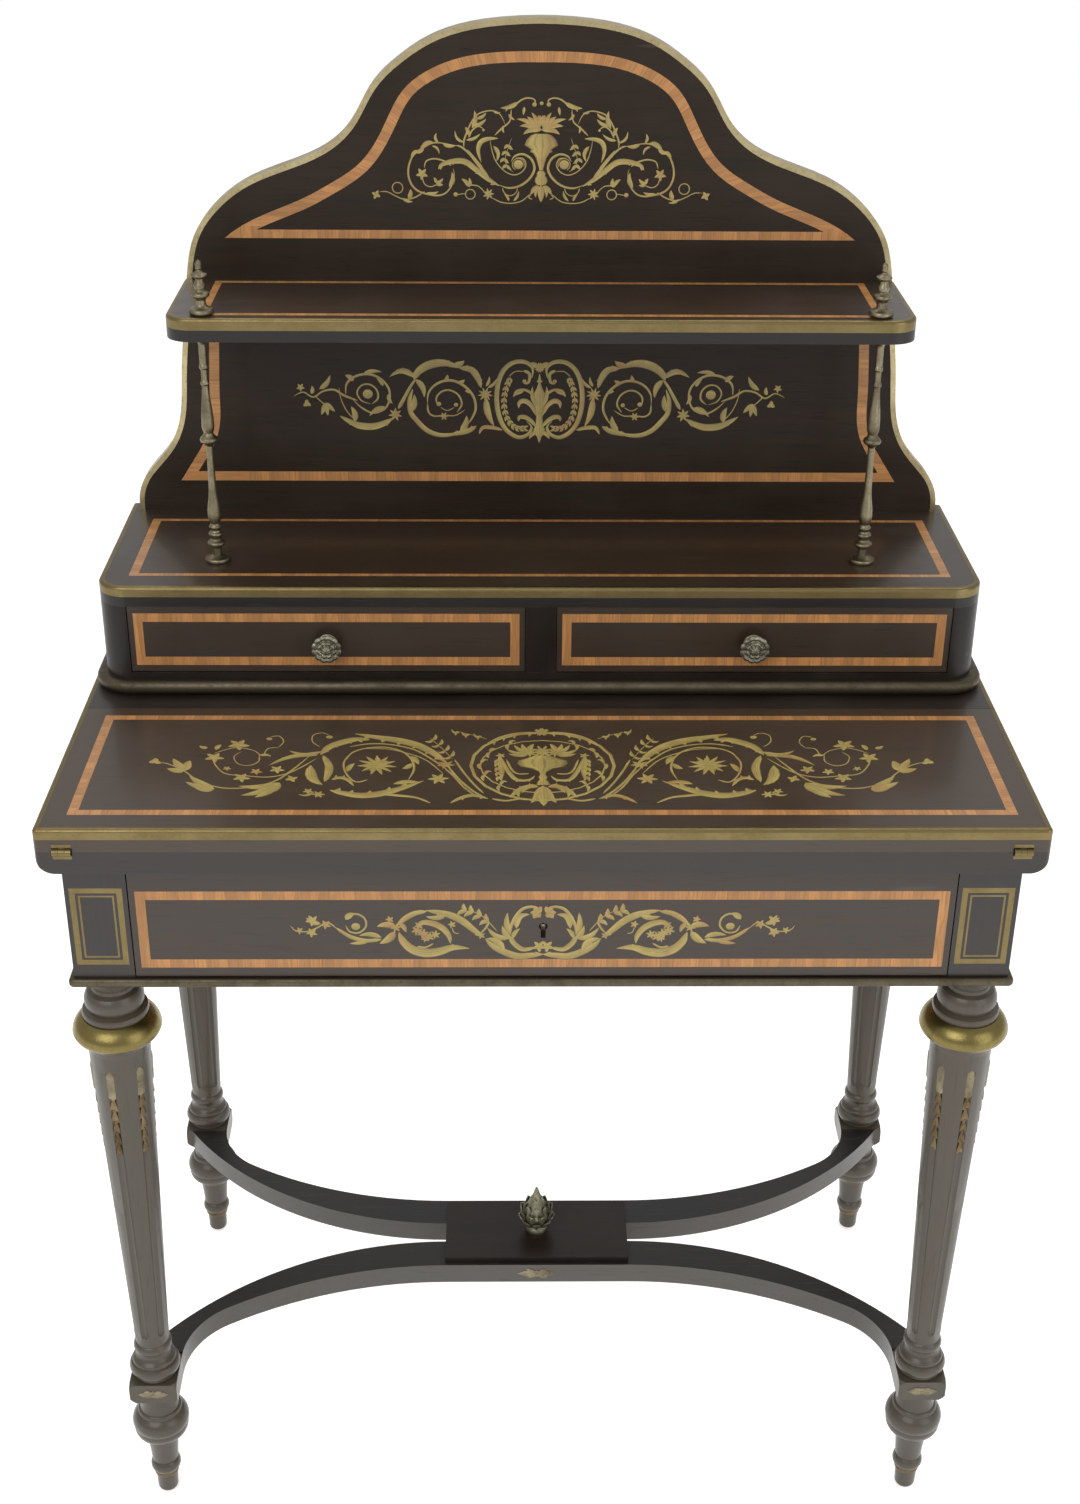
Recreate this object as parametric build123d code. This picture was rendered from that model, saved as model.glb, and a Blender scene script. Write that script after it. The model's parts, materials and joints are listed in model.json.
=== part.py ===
from build123d import *
import math
import os

os.makedirs("parts", exist_ok=True)

# Ladies' writing desk with a fold-over top, a drawer case, a shaped back panel and a shelf.
# Frame: +X to the sitter's right, the front is -Y, +Z up. The origin is on the floor under the
# middle of the whole desk. All sizes are in millimetres.

# ------------------------------------------------------------------ driving sizes: writing top
top_width = 800.0
top_depth = 450.0
writing_height = 760.0
leaf_thickness = 20.0
fixed_leaf_thickness = 20.0
leaf_depth = 212.0
leaf_back_gap = 0.5
top_corner_radius = 4.0
fixed_leaf_end_radius = 15.0
edge_brass_width = 5.0
edge_brass_height = 9.0
edge_brass_radius = 3.0
finger_notch_from = 0.7
finger_notch_to = 47.4
finger_notch_slope = 6.0
finger_notch_height = 4.0
finger_notch_depth = 12.0

# ------------------------------------------------------------------ driving sizes: inlay
band_width = 8.0
inlay_depth = 1.0
leaf_band_side_inset = 23.0
leaf_band_front_inset = 24.0
leaf_band_back_inset = 14.0
leather_thickness = 1.2
leather_pocket = 1.5
leather_margin = 40.0

# ------------------------------------------------------------------ driving sizes: leaf hinges
hinge_inset = 22.0
hinge_width = 15.0
hinge_knuckle_radius = 3.2
hinge_axis_out = 0.3
hinge_plate_height = 6.5
hinge_plate_thickness = 1.5
hinge_pin_radius = 1.2
hinge_pin_clearance = 0.05
hinge_knuckle_gap = 0.2
hinge_relief = 0.4

# ------------------------------------------------------------------ driving sizes: apron
apron_height = 116.0
apron_side_inset = 16.0
apron_front_inset = 15.0
apron_back_inset = 12.0
block_size = 50.0
rail_thickness = 18.0
front_rail_height = 8.0
apron_moulding_height = 8.0
apron_moulding_proud = 4.7
apron_moulding_radius = 3.0
block_inlay_side_inset = 3.8
block_inlay_bottom_inset = 20.5
block_inlay_top_inset = 22.6
block_inlay_width = 4.6
block_line_gap = 2.2
block_line_width = 1.5
rail_band_inset = 14.0

# ------------------------------------------------------------------ driving sizes: writing drawer
drawer_gap = 1.0
drawer_top_gap = 2.5
drawer_front_thickness = 18.0
drawer_box_inset = 12.0
drawer_side_thickness = 12.0
drawer_side_height = 90.0
drawer_back_thickness = 12.0
drawer_bottom_thickness = 6.0
drawer_bottom_lift = 4.0
drawer_back_space = 14.0
drawer_band_side_inset = 5.0
drawer_band_bottom_inset = 8.5
drawer_band_top_inset = 23.0
runner_thickness = 10.0
runner_shelf = 20.0
guide_height = 14.0
guide_gap = 0.7
slide_gap = 0.3
keyhole_height = 48.0
keyhole_radius = 3.6
keyhole_slot_width = 4.0
keyhole_slot_drop = 11.0
lock_width = 56.0
lock_height = 82.0
lock_thickness = 9.0
lock_bolt_width = 18.0
lock_bolt_thickness = 4.0
lock_bolt_height = 26.0
lock_bolt_clearance = 0.15
lock_bolt_below_edge = 0.5
lock_bolt_throw = 6.0
lock_mortise_spare = 1.5
lock_pin_radius = 1.1
lock_pin_set_back = 2.0

# ------------------------------------------------------------------ driving sizes: legs
leg_flute_count = 6
leg_flute_phase = -13.0
leg_flute_radius = 4.6
leg_flute_offset = 2.6
leg_flute_bottom = 208.0
leg_flute_top = 511.5
flute_insert_bottom = 428.0
flute_insert_clearance = 0.05
flute_insert_proud = 0.6
collar_seat_radius = 24.0
collar_bottom = 538.5
collar_top = 561.0
collar_lower_radius = 30.5
collar_widest_radius = 37.5
collar_widest_height = 547.0
collar_upper_radius = 28.0
leg_column_top = 529.0
leg_column_top_radius = 26.2
leg_column_bottom = 195.0
leg_column_bottom_radius = 15.4
leg_block_bottom = 131.5
leg_block_height = 22.0
leg_block_width = 44.0
leg_block_round = 32.5
foot_ring_bottom = 22.0
foot_ring_height = 5.0
foot_ring_radius = 11.6
foot_ring_seat = 9.6
ankle_ring_bottom = 71.0
ankle_ring_height = 3.0
ankle_ring_radius = 17.0
ankle_ring_seat = 15.0

# ------------------------------------------------------------------ driving sizes: stretcher
stretcher_thickness = 22.0
stretcher_top = 153.5
arm_end_radius = 74.0
arm_end_lap = 5.6
arm_inner_reach = 15.6
arm_middle_width = 35.0
arm_middle_space = 27.0
platform_width = 184.0
platform_depth = 85.0
platform_thickness = 5.0
stretcher_finial_height = 55.0
stretcher_finial_radius = 15.8
front_ornament_width = 40.0
block_ornament_width = 28.0
ornament_height = 9.0
ornament_thickness = 2.0

# ------------------------------------------------------------------ driving sizes: drawer case
case_front_inset = 245.0
case_side_inset = 13.5
case_height = 100.0
case_corner_radius = 25.0
case_bottom_thickness = 19.0
case_top_thickness = 18.0
case_side_thickness = 25.5
case_divider_thickness = 27.0
case_back_thickness = 14.0
case_moulding_height = 13.0
case_moulding_proud = 9.5
case_moulding_radius = 6.0
case_band_side_inset = 25.5
case_band_front_inset = 26.5
case_band_back_inset = 41.5
case_band_narrow = 5.5
small_drawer_gap = 0.5
small_drawer_set_back = 1.5
small_drawer_front_thickness = 14.0
small_drawer_side_thickness = 8.0
small_drawer_side_height = 48.0
small_drawer_bottom_thickness = 4.0
small_drawer_bottom_lift = 3.0
small_drawer_box_inset = 3.0
small_drawer_back_space = 12.0
small_band_end_inset = 4.8
small_band_bottom_inset = 6.0
small_band_top_inset = 6.5
knob_radius = 13.5
knob_proud = 18.0
knob_drop = 4.0
knob_neck_radius = 5.0
knob_base_radius = 9.0
knob_screw_radius = 2.5

# ------------------------------------------------------------------ driving sizes: back panel
total_height = 1303.0
panel_side_inset = 23.0
panel_thickness = 18.0
panel_edge_width = 4.8
upper_band_width = 9.0
upper_band_bar_width = 7.5
lower_band_width = 9.0
lower_band_lift = 29.5
lower_band_shelf_gap = 9.0

# ------------------------------------------------------------------ driving sizes: shelf and posts
shelf_lift = 200.0
shelf_thickness = 20.0
shelf_side_inset = 81.0
shelf_depth = 131.0
shelf_corner_radius = 22.0
shelf_edge_height = 10.0
shelf_edge_width = 5.0
shelf_band_inset = 29.0
shelf_band_front_inset = 12.0
shelf_band_back_inset = 7.0
shelf_band_width = 6.5
post_side_inset = 31.5
post_front_inset = 5.5
post_base_radius = 10.7
post_ring_height = 113.0
post_ring_radius = 8.0
post_bulb_radius = 6.2
post_top_radius = 3.2
finial_height = 45.5
finial_base_radius = 10.2

# ------------------------------------------------------------------ sizes worked out from these
front = -(top_depth - hinge_axis_out - hinge_knuckle_radius) / 2
back = front + top_depth
half_width = top_width / 2
joint_height = writing_height - leaf_thickness
apron_top = joint_height - fixed_leaf_thickness
apron_bottom = apron_top - apron_height
leaf_back = front + leaf_depth
rear_front = leaf_back + leaf_back_gap

apron_half_width = half_width - apron_side_inset
apron_front = front + apron_front_inset
apron_back = back - apron_back_inset
leg_x = apron_half_width - block_size / 2
leg_front_y = apron_front + block_size / 2
leg_back_y = apron_back - block_size / 2
block_inner_x = apron_half_width - block_size
leg_places = [
    (-leg_x, leg_front_y),
    (leg_x, leg_front_y),
    (-leg_x, leg_back_y),
    (leg_x, leg_back_y),
]

case_half_width = half_width - case_side_inset
case_front = front + case_front_inset
case_top = writing_height + case_height
case_drawer_bottom = writing_height + case_bottom_thickness
case_drawer_top = case_top - case_top_thickness
case_back_front = back - case_back_thickness
case_inner_x = case_half_width - case_side_thickness

panel_half_width = half_width - panel_side_inset
panel_front = back - panel_thickness
panel_height = total_height - case_top
shelf_bottom = case_top + shelf_lift
shelf_top = shelf_bottom + shelf_thickness
shelf_front = panel_front - shelf_depth
shelf_half_width = half_width - shelf_side_inset
post_x = shelf_half_width - post_side_inset
post_y = shelf_front + post_front_inset


# ------------------------------------------------------------------ helpers
def block(low, high):
    """A box between two opposite corners."""
    size = [b - a for a, b in zip(low, high)]
    middle = [(a + b) / 2 for a, b in zip(low, high)]
    return Pos(*middle) * Box(*size)


def ring(low, high, walls):
    """A rectangular frame: a box with a hole right through it along the axis whose wall is 0."""
    inner_low = [a + wall if wall else a - 1 for a, wall in zip(low, walls)]
    inner_high = [b - wall if wall else b + 1 for b, wall in zip(high, walls)]
    return block(low, high) - block(inner_low, inner_high)


def plan_slab(half, y_front, y_back, corner, bottom, top, round_top=0.0, round_bottom=0.0):
    """A slab with rounded front corners, its top and bottom edges rounded except at the back."""
    width = 2 * half
    depth = y_back - y_front
    slab = block((-half, y_front, bottom), (half, y_back, top))
    upright = slab.edges().filter_by(Axis.Z).sort_by(Axis.Y)[:2]
    slab = fillet(upright, corner)
    for height, radius in ((top, round_top), (bottom, round_bottom)):
        if radius:
            level = slab.edges().filter_by_position(Axis.Z, height - 0.001, height + 0.001)
            outer = [edge for edge in level if edge.center().Y < y_front + 0.99 * depth]
            slab = fillet(outer, radius)
    return slab


def edge_strip(half, y_front, y_back, corner, bottom, top, width, round_top, round_bottom=0.0):
    """A U-shaped strip along the front and both ends of a slab."""
    outer = plan_slab(half, y_front, y_back, corner, bottom, top, round_top, round_bottom)
    inner_corner = max(corner - width, 0.5)
    inner = plan_slab(half - width, y_front + width, y_back + 1, inner_corner, bottom - 1, top + 1)
    return outer - inner


def turned(profile):
    """A turned solid from (radius, height, bulge) points, bottom to top; bulge arches the run to it."""
    first = (profile[0][0], profile[0][1])
    edges = [Line((0, 0, first[1]), (first[0], 0, first[1]))]
    here = first
    for radius, height, bulge in profile[1:]:
        run = math.hypot(radius - here[0], height - here[1])
        if bulge:
            out_r = (height - here[1]) / run
            out_z = -(radius - here[0]) / run
            middle_r = (radius + here[0]) / 2 + bulge * out_r
            middle_z = (height + here[1]) / 2 + bulge * out_z
            start = (here[0], 0, here[1])
            edges.append(ThreePointArc(start, (middle_r, 0, middle_z), (radius, 0, height)))
        else:
            edges.append(Line((here[0], 0, here[1]), (radius, 0, height)))
        here = (radius, height)
    edges.append(Line((here[0], 0, here[1]), (0, 0, here[1])))
    edges.append(Line((0, 0, here[1]), (0, 0, first[1])))
    return revolve(make_face(edges), Axis.Z)


def rod(start, end, radius):
    """A round rod with ball ends between two points."""
    start = Vector(*start)
    end = Vector(*end)
    run = end - start
    along = Plane(origin=start, z_dir=run)
    shaft = along * Cylinder(radius, run.length, align=(Align.CENTER, Align.CENTER, Align.MIN))
    return shaft + Pos(*start) * Sphere(radius) + Pos(*end) * Sphere(radius)


def save(name, *solids):
    """Write one sub-part; several solids go out as one group."""
    pieces = [piece for solid in solids for piece in solid.solids()]
    shape = pieces[0] if len(pieces) == 1 else Compound(children=pieces)
    shape.label = name
    export_step(shape, f"parts/{name}.step")


# ------------------------------------------------------------------ legs
def column_radius(height):
    """Radius of the tapered column at a height."""
    share = (height - leg_column_bottom) / (leg_column_top - leg_column_bottom)
    return leg_column_bottom_radius + share * (leg_column_top_radius - leg_column_bottom_radius)


def flute_line(angle, bottom, top, offset):
    """The ends of a line that follows the column's taper, outside its surface by offset."""
    ends = []
    for height in (bottom, top):
        reach = column_radius(height) + offset
        ends.append((reach * math.cos(angle), reach * math.sin(angle), height))
    return ends


def flute_angles(side):
    """Directions of the flutes, mirrored between the left legs (-1) and the right legs (+1)."""
    step = 360.0 / leg_flute_count
    turns = [leg_flute_phase + step * count for count in range(leg_flute_count)]
    return [math.radians(-90.0 - side * turn) for turn in turns]


def leg_turning():
    """The turned leg on its own axis, without flutes and before its square block is cut."""
    block_top = leg_block_bottom + leg_block_height
    ring_top = foot_ring_bottom + foot_ring_height
    ankle_top = ankle_ring_bottom + ankle_ring_height
    return turned([
        (6.0, 0.0, 0),
        (9.6, 6.0, 1.2),
        (10.2, foot_ring_bottom, 0),
        (foot_ring_seat, foot_ring_bottom, 0),
        (foot_ring_seat, ring_top, 0),
        (11.4, ring_top, 0),
        (11.6, ring_top + 13.0, 2.6),
        (12.4, ring_top + 15.0, 0),
        (ankle_ring_seat, ankle_ring_bottom, -0.4),
        (ankle_ring_seat, ankle_top, 0),
        (17.0, ankle_top, 0),
        (25.2, ankle_top + 14.0, 3.0),
        (20.6, ankle_top + 31.0, 3.2),
        (20.6, ankle_top + 33.0, 0),
        (18.4, ankle_top + 36.0, 0.6),
        (17.2, leg_block_bottom, -0.8),
        (17.2, block_top, 0),
        (19.5, block_top, 0),
        (20.2, block_top + 3.0, 0.6),
        (21.0, block_top + 3.5, 0),
        (21.6, block_top + 15.0, 2.0),
        (19.8, block_top + 16.0, 0),
        (18.8, block_top + 20.5, 0.8),
        (15.2, block_top + 29.0, -1.4),
        (15.2, leg_column_bottom - 2.0, 2.4),
        (leg_column_bottom_radius, leg_column_bottom, 0),
        (leg_column_top_radius, leg_column_top, 0),
        (27.0, leg_column_top + 5.0, 0),
        (collar_lower_radius, collar_bottom, 0.6),
        (collar_seat_radius, collar_bottom, 0),
        (collar_seat_radius, collar_top, 0),
        (27.3, collar_top, 0),
        (27.3, collar_top + 6.5, 0.8),
        (23.0, collar_top + 8.0, 0),
        (22.0, collar_top + 24.5, 2.6),
        (18.4, collar_top + 26.5, 0),
        (18.0, collar_top + 29.5, 0),
        (23.4, apron_bottom, -0.6),
    ])


def leg(side):
    """A whole leg: turning, square stretcher block and flutes."""
    half = leg_block_width / 2
    low = leg_block_bottom
    high = low + leg_block_height
    middle = (low + high) / 2
    square = block((-half, -half, low), (half, half, high))
    barrel = turned([
        (leg_block_round - 5.0, low, 0),
        (leg_block_round, middle, 1.2),
        (leg_block_round - 5.0, high, 1.2),
    ])
    shape = leg_turning() + (square & barrel)
    for angle in flute_angles(side):
        line = flute_line(angle, leg_flute_bottom, leg_flute_top, leg_flute_offset)
        shape -= rod(line[0], line[1], leg_flute_radius)
    return shape


def leg_inserts(side):
    """The metal rods that lie in the upper ends of the flutes."""
    skin = turned([
        (column_radius(leg_flute_bottom) + flute_insert_proud, leg_flute_bottom, 0),
        (column_radius(leg_column_top) + flute_insert_proud, leg_column_top, 0),
    ])
    inserts = []
    for angle in flute_angles(side):
        line = flute_line(angle, flute_insert_bottom, leg_flute_top, leg_flute_offset)
        inserts.append(rod(line[0], line[1], leg_flute_radius - flute_insert_clearance) & skin)
    return inserts


def leg_collar():
    """The brass collar under the apron, a fat half-round ring."""
    ring_section = turned([
        (collar_lower_radius, collar_bottom, 0),
        (collar_widest_radius, collar_widest_height, 1.6),
        (collar_upper_radius, collar_top, 2.2),
    ])
    hole = Pos(0, 0, collar_bottom) * Cylinder(
        collar_seat_radius, 2 * (collar_top - collar_bottom), align=(Align.CENTER, Align.CENTER, Align.CENTER)
    )
    return ring_section - hole


def foot_rings():
    """The two small brass rings of one foot."""
    rings = []
    for bottom, height, outer, seat in (
        (foot_ring_bottom, foot_ring_height, foot_ring_radius, foot_ring_seat),
        (ankle_ring_bottom, ankle_ring_height, ankle_ring_radius, ankle_ring_seat),
    ):
        body = turned([
            (outer - 0.8, bottom, 0),
            (outer - 0.8, bottom + height, 0.8),
        ])
        hole = Pos(0, 0, bottom + height / 2) * Cylinder(seat, 2 * height)
        rings.append(body - hole)
    return rings


leg_names = ("leg_front_left", "leg_front_right", "leg_back_left", "leg_back_right")
leg_by_side = {side: leg(side) for side in (-1, 1)}
inserts_by_side = {side: leg_inserts(side) for side in (-1, 1)}
collars = []
all_foot_rings = []
for name, (x, y) in zip(leg_names, leg_places):
    side = 1 if x > 0 else -1
    place = Pos(x, y, 0)
    save(name, place * leg_by_side[side])
    collars.append(place * leg_collar())
    save(name.replace("leg", "inserts"), *[place * insert for insert in inserts_by_side[side]])
    all_foot_rings += [place * foot_ring for foot_ring in foot_rings()]
save("leg_collars", *collars)
save("foot_rings", *all_foot_rings)


# ------------------------------------------------------------------ stretcher
def arm_outline(middle_y, sign):
    """Plan of one right-hand arm, from the middle to its leg block; sign +1 curves to the front."""
    half_platform = platform_width / 2
    block_half = leg_block_width / 2
    leg_y = leg_front_y if sign > 0 else leg_back_y
    far_drop = abs(leg_y - middle_y) + block_half
    near_drop = abs(leg_y - middle_y) - block_half

    face_x = leg_x - block_half
    centre_x = face_x - arm_end_radius
    run = centre_x - half_platform
    end_drop = near_drop + arm_end_lap
    lean = 2 * math.atan((end_drop - arm_end_radius) / run)
    outer_radius = arm_end_radius + run / math.sin(lean)
    bend_x = half_platform + outer_radius * math.sin(lean)
    bend_drop = outer_radius * (1 - math.cos(lean))
    outer_mid = (
        half_platform + outer_radius * math.sin(lean / 2),
        outer_radius * (1 - math.cos(lean / 2)),
    )
    end_turn = (lean + math.pi / 2) / 2
    end_mid = (
        centre_x + arm_end_radius * math.sin(end_turn),
        end_drop - arm_end_radius * math.cos(end_turn),
    )

    inner_end_x = leg_x + arm_inner_reach
    inner_run = inner_end_x - half_platform
    inner_end_drop = near_drop + arm_middle_width
    inner_turn = 2 * math.atan(inner_end_drop / inner_run)
    inner_radius = inner_run / math.sin(inner_turn)
    inner_mid = (
        half_platform + inner_radius * math.sin(inner_turn / 2),
        inner_radius * (1 - math.cos(inner_turn / 2)) - arm_middle_width,
    )

    def at(x, drop):
        return (x, middle_y - sign * drop, 0)

    edges = [
        Line(at(0, 0), at(half_platform, 0)),
        ThreePointArc(at(half_platform, 0), at(*outer_mid), at(bend_x, bend_drop)),
        ThreePointArc(at(bend_x, bend_drop), at(*end_mid), at(face_x, end_drop)),
        Line(at(face_x, end_drop), at(face_x, far_drop)),
        Line(at(face_x, far_drop), at(inner_end_x, far_drop)),
        Line(at(inner_end_x, far_drop), at(inner_end_x, near_drop)),
        ThreePointArc(
            at(inner_end_x, near_drop), at(*inner_mid), at(half_platform, -arm_middle_width)
        ),
        Line(at(half_platform, -arm_middle_width), at(0, -arm_middle_width)),
        Line(at(0, -arm_middle_width), at(0, 0)),
    ]
    return make_face(edges)


def arm(middle_y, sign):
    """One right-hand stretcher arm, notched over its leg block."""
    face = arm_outline(middle_y, sign)
    shape = extrude(face, stretcher_thickness, dir=(0, 0, 1))
    shape = Pos(0, 0, stretcher_top - stretcher_thickness) * shape
    leg_y = leg_front_y if sign > 0 else leg_back_y
    half = leg_block_width / 2
    notch_low = (leg_x - half, leg_y - half, stretcher_top - 2 * stretcher_thickness)
    notch_high = (leg_x + 2 * half, leg_y + half, stretcher_top + stretcher_thickness)
    if sign > 0:
        notch_low = (notch_low[0], leg_y - 2 * half, notch_low[2])
    else:
        notch_high = (notch_high[0], leg_y + 2 * half, notch_high[2])
    return shape - block(notch_low, notch_high)


def left_and_right(shape):
    """A right-hand piece with its mirror image on the left."""
    return [mirror(shape, Plane.YZ), shape]


stretcher_middle_y = (leg_front_y + leg_back_y) / 2
front_face_y = stretcher_middle_y - arm_middle_space / 2 - arm_middle_width
back_face_y = stretcher_middle_y + arm_middle_space / 2 + arm_middle_width
save("stretcher_front_arms", *left_and_right(arm(front_face_y, 1)))
save("stretcher_back_arms", *left_and_right(arm(back_face_y, -1)))

platform_top = stretcher_top + platform_thickness
platform = block(
    (-platform_width / 2, stretcher_middle_y - platform_depth / 2, stretcher_top),
    (platform_width / 2, stretcher_middle_y + platform_depth / 2, platform_top),
)
save("stretcher_platform", platform)

tip_height = stretcher_finial_height
stretcher_finial = turned([
    (10.5, 0, 0),
    (10.5, 4.0, 0.8),
    (7.0, 7.0, -0.6),
    (8.0, 9.5, 0),
    (stretcher_finial_radius, 22.0, 2.4),
    (stretcher_finial_radius - 3.2, 31.0, 1.2),
    (4.6, 40.0, -1.6),
    (0.8, tip_height, -1.0),
])
save("stretcher_finial", Pos(0, stretcher_middle_y, platform_top) * stretcher_finial)


def ornament(width):
    """A pointed oval applied ornament, lying against a face at y = 0 and standing out to the front."""
    half = width / 2
    rise = ornament_height / 2
    edges = [
        ThreePointArc((-half, 0, 0), (0, 0, rise), (half, 0, 0)),
        ThreePointArc((half, 0, 0), (0, 0, -rise), (-half, 0, 0)),
    ]
    return extrude(make_face(edges), ornament_thickness, dir=(0, -1, 0))


ornament_z = stretcher_top - stretcher_thickness / 2
block_ornament_z = leg_block_bottom + leg_block_height / 2
block_face_y = leg_front_y - leg_block_width / 2
ornaments = [Pos(0, front_face_y, ornament_z) * ornament(front_ornament_width)]
for x in (-leg_x, leg_x):
    ornaments.append(Pos(x, block_face_y, block_ornament_z) * ornament(block_ornament_width))
save("stretcher_ornaments", *ornaments)


# ------------------------------------------------------------------ apron
def corner_block(x, y):
    """The square top of a leg, behind the apron's inlays."""
    half = block_size / 2
    return block((x - half, y - half, apron_bottom), (x + half, y + half, apron_top))


inlay_low = apron_bottom + block_inlay_bottom_inset
inlay_high = apron_top - block_inlay_top_inset


def block_frames():
    """Two brass frames, wide and thin, on each outward face of the leg tops."""
    frames = []
    line_inset = block_inlay_width + block_line_gap
    for inset, wide in ((0.0, block_inlay_width), (line_inset, block_line_width)):
        for x, y in leg_places:
            half = block_size / 2 - block_inlay_side_inset - inset
            low_z = inlay_low + inset
            high_z = inlay_high - inset
            face_x = math.copysign(apron_half_width, x)
            inner_x = face_x - math.copysign(inlay_depth, x)
            xs = sorted((face_x, inner_x))
            frames.append(ring((xs[0], y - half, low_z), (xs[1], y + half, high_z), (0, wide, wide)))
            if y < 0:
                ys = (apron_front, apron_front + inlay_depth)
                frames.append(ring((x - half, ys[0], low_z), (x + half, ys[1], high_z), (wide, 0, wide)))
    return frames


brass_frames = block_frames()
corner_blocks = []
for x, y in leg_places:
    shape = corner_block(x, y)
    for frame in brass_frames:
        near = frame.center()
        if abs(near.X - x) < block_size and abs(near.Y - y) < block_size:
            shape -= frame
    corner_blocks.append(shape)
save("corner_blocks", *corner_blocks)
save("corner_inlays", *brass_frames)


def side_band(sign):
    """The banding let into the outside of a side rail."""
    xs = sorted((sign * apron_half_width, sign * (apron_half_width - inlay_depth)))
    return ring(
        (xs[0], leg_front_y + block_size / 2 + rail_band_inset, inlay_low),
        (xs[1], leg_back_y - block_size / 2 - rail_band_inset, inlay_high),
        (0, band_width, band_width),
    )


side_bands = [side_band(sign) for sign in (-1, 1)]
side_rails = []
for sign, band in zip((-1, 1), side_bands):
    xs = sorted((sign * apron_half_width, sign * (apron_half_width - rail_thickness)))
    rail = block(
        (xs[0], leg_front_y + block_size / 2, apron_bottom),
        (xs[1], leg_back_y - block_size / 2, apron_top),
    )
    side_rails.append(rail - band)
save("side_rails", *side_rails)
save("back_rail", block(
    (-block_inner_x, apron_back - rail_thickness, apron_bottom),
    (block_inner_x, apron_back, apron_top),
))
save("front_rail", block(
    (-block_inner_x, apron_front, apron_bottom),
    (block_inner_x, apron_front + block_size, apron_bottom + front_rail_height),
))
apron_moulding = edge_strip(
    apron_half_width + apron_moulding_proud,
    apron_front - apron_moulding_proud,
    apron_back,
    apron_moulding_proud,
    apron_bottom,
    apron_bottom + apron_moulding_height,
    apron_moulding_proud,
    apron_moulding_radius,
    apron_moulding_radius,
)
apron_core = block(
    (-apron_half_width, apron_front, apron_bottom),
    (apron_half_width, apron_back + 1, apron_top),
)
save("apron_moulding", apron_moulding - apron_core)

# ------------------------------------------------------------------ writing drawer and its guides
drawer_half_width = block_inner_x - drawer_gap
drawer_low = apron_bottom + front_rail_height + drawer_gap
drawer_high = apron_top - drawer_top_gap
drawer_front_back = apron_front + drawer_front_thickness
drawer_back = apron_back - rail_thickness - drawer_back_space
drawer_outer_x = drawer_half_width - drawer_box_inset
drawer_inner_x = drawer_outer_x - drawer_side_thickness
runner_top = apron_bottom + front_rail_height + runner_thickness - drawer_gap
drawer_side_low = runner_top + slide_gap
drawer_side_high = drawer_side_low + drawer_side_height
drawer_bottom_low = drawer_side_low + drawer_bottom_lift

guides = []
for sign in (-1, 1):
    rail_face = apron_half_width - rail_thickness
    guide_face = drawer_outer_x + guide_gap
    ends = (apron_front + block_size, apron_back - rail_thickness)
    xs = sorted((sign * (drawer_outer_x - runner_shelf), sign * rail_face))
    post_side = sorted((sign * guide_face, sign * rail_face))
    runner = block((xs[0], ends[0], runner_top - runner_thickness), (xs[1], ends[1], runner_top))
    guide = block((post_side[0], ends[0], runner_top), (post_side[1], ends[1], runner_top + guide_height))
    kicker = block((xs[0], ends[0], drawer_side_high + slide_gap), (xs[1], ends[1], apron_top))
    guides += [runner + guide, kicker]
corner_space = [corner_block(x, y) for x, y in leg_places]
save("drawer_guides", *[guide - corner_space for guide in guides])

drawer_front = block(
    (-drawer_half_width, apron_front, drawer_low),
    (drawer_half_width, drawer_front_back, drawer_high),
)
drawer_band = ring(
    (-drawer_half_width + drawer_band_side_inset, apron_front, drawer_low + drawer_band_bottom_inset),
    (
        drawer_half_width - drawer_band_side_inset,
        apron_front + inlay_depth,
        drawer_high - drawer_band_top_inset,
    ),
    (band_width, 0, band_width),
)
keyhole_z = drawer_low + keyhole_height
keyhole = Pos(0, apron_front + drawer_front_thickness / 2, keyhole_z) * Rot(90, 0, 0) * Cylinder(
    keyhole_radius, 2 * drawer_front_thickness
)
keyhole += block(
    (-keyhole_slot_width / 2, apron_front - 1, keyhole_z - keyhole_slot_drop),
    (keyhole_slot_width / 2, drawer_front_back + 1, keyhole_z),
)
lock_case = block(
    (-lock_width / 2, drawer_front_back - lock_thickness, drawer_high - lock_height),
    (lock_width / 2, drawer_front_back, drawer_high),
)
bolt_y = drawer_front_back - lock_thickness / 2
bolt_top = drawer_high - lock_bolt_below_edge
bolt_bottom = bolt_top - lock_bolt_height
lock_bolt = block(
    (-lock_bolt_width / 2, bolt_y - lock_bolt_thickness / 2, bolt_bottom),
    (lock_bolt_width / 2, bolt_y + lock_bolt_thickness / 2, bolt_top),
)
bolt_space = block(
    (
        -lock_bolt_width / 2 - lock_bolt_clearance,
        bolt_y - lock_bolt_thickness / 2 - lock_bolt_clearance,
        bolt_bottom - lock_bolt_clearance,
    ),
    (
        lock_bolt_width / 2 + lock_bolt_clearance,
        bolt_y + lock_bolt_thickness / 2 + lock_bolt_clearance,
        drawer_high + 1,
    ),
)
lock_pin_length = drawer_front_thickness - lock_thickness - lock_pin_set_back
lock_pin_y = drawer_front_back - lock_thickness - lock_pin_length / 2
lock_pin = Pos(0, lock_pin_y, keyhole_z) * Rot(90, 0, 0) * Cylinder(lock_pin_radius, lock_pin_length)
save("writing_drawer_front", drawer_front - drawer_band - (keyhole - lock_case) - lock_case)
save("writing_drawer_band", drawer_band)
save("writing_drawer_lock", lock_case - bolt_space + lock_pin)
save("lock_bolt", lock_bolt)
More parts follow.
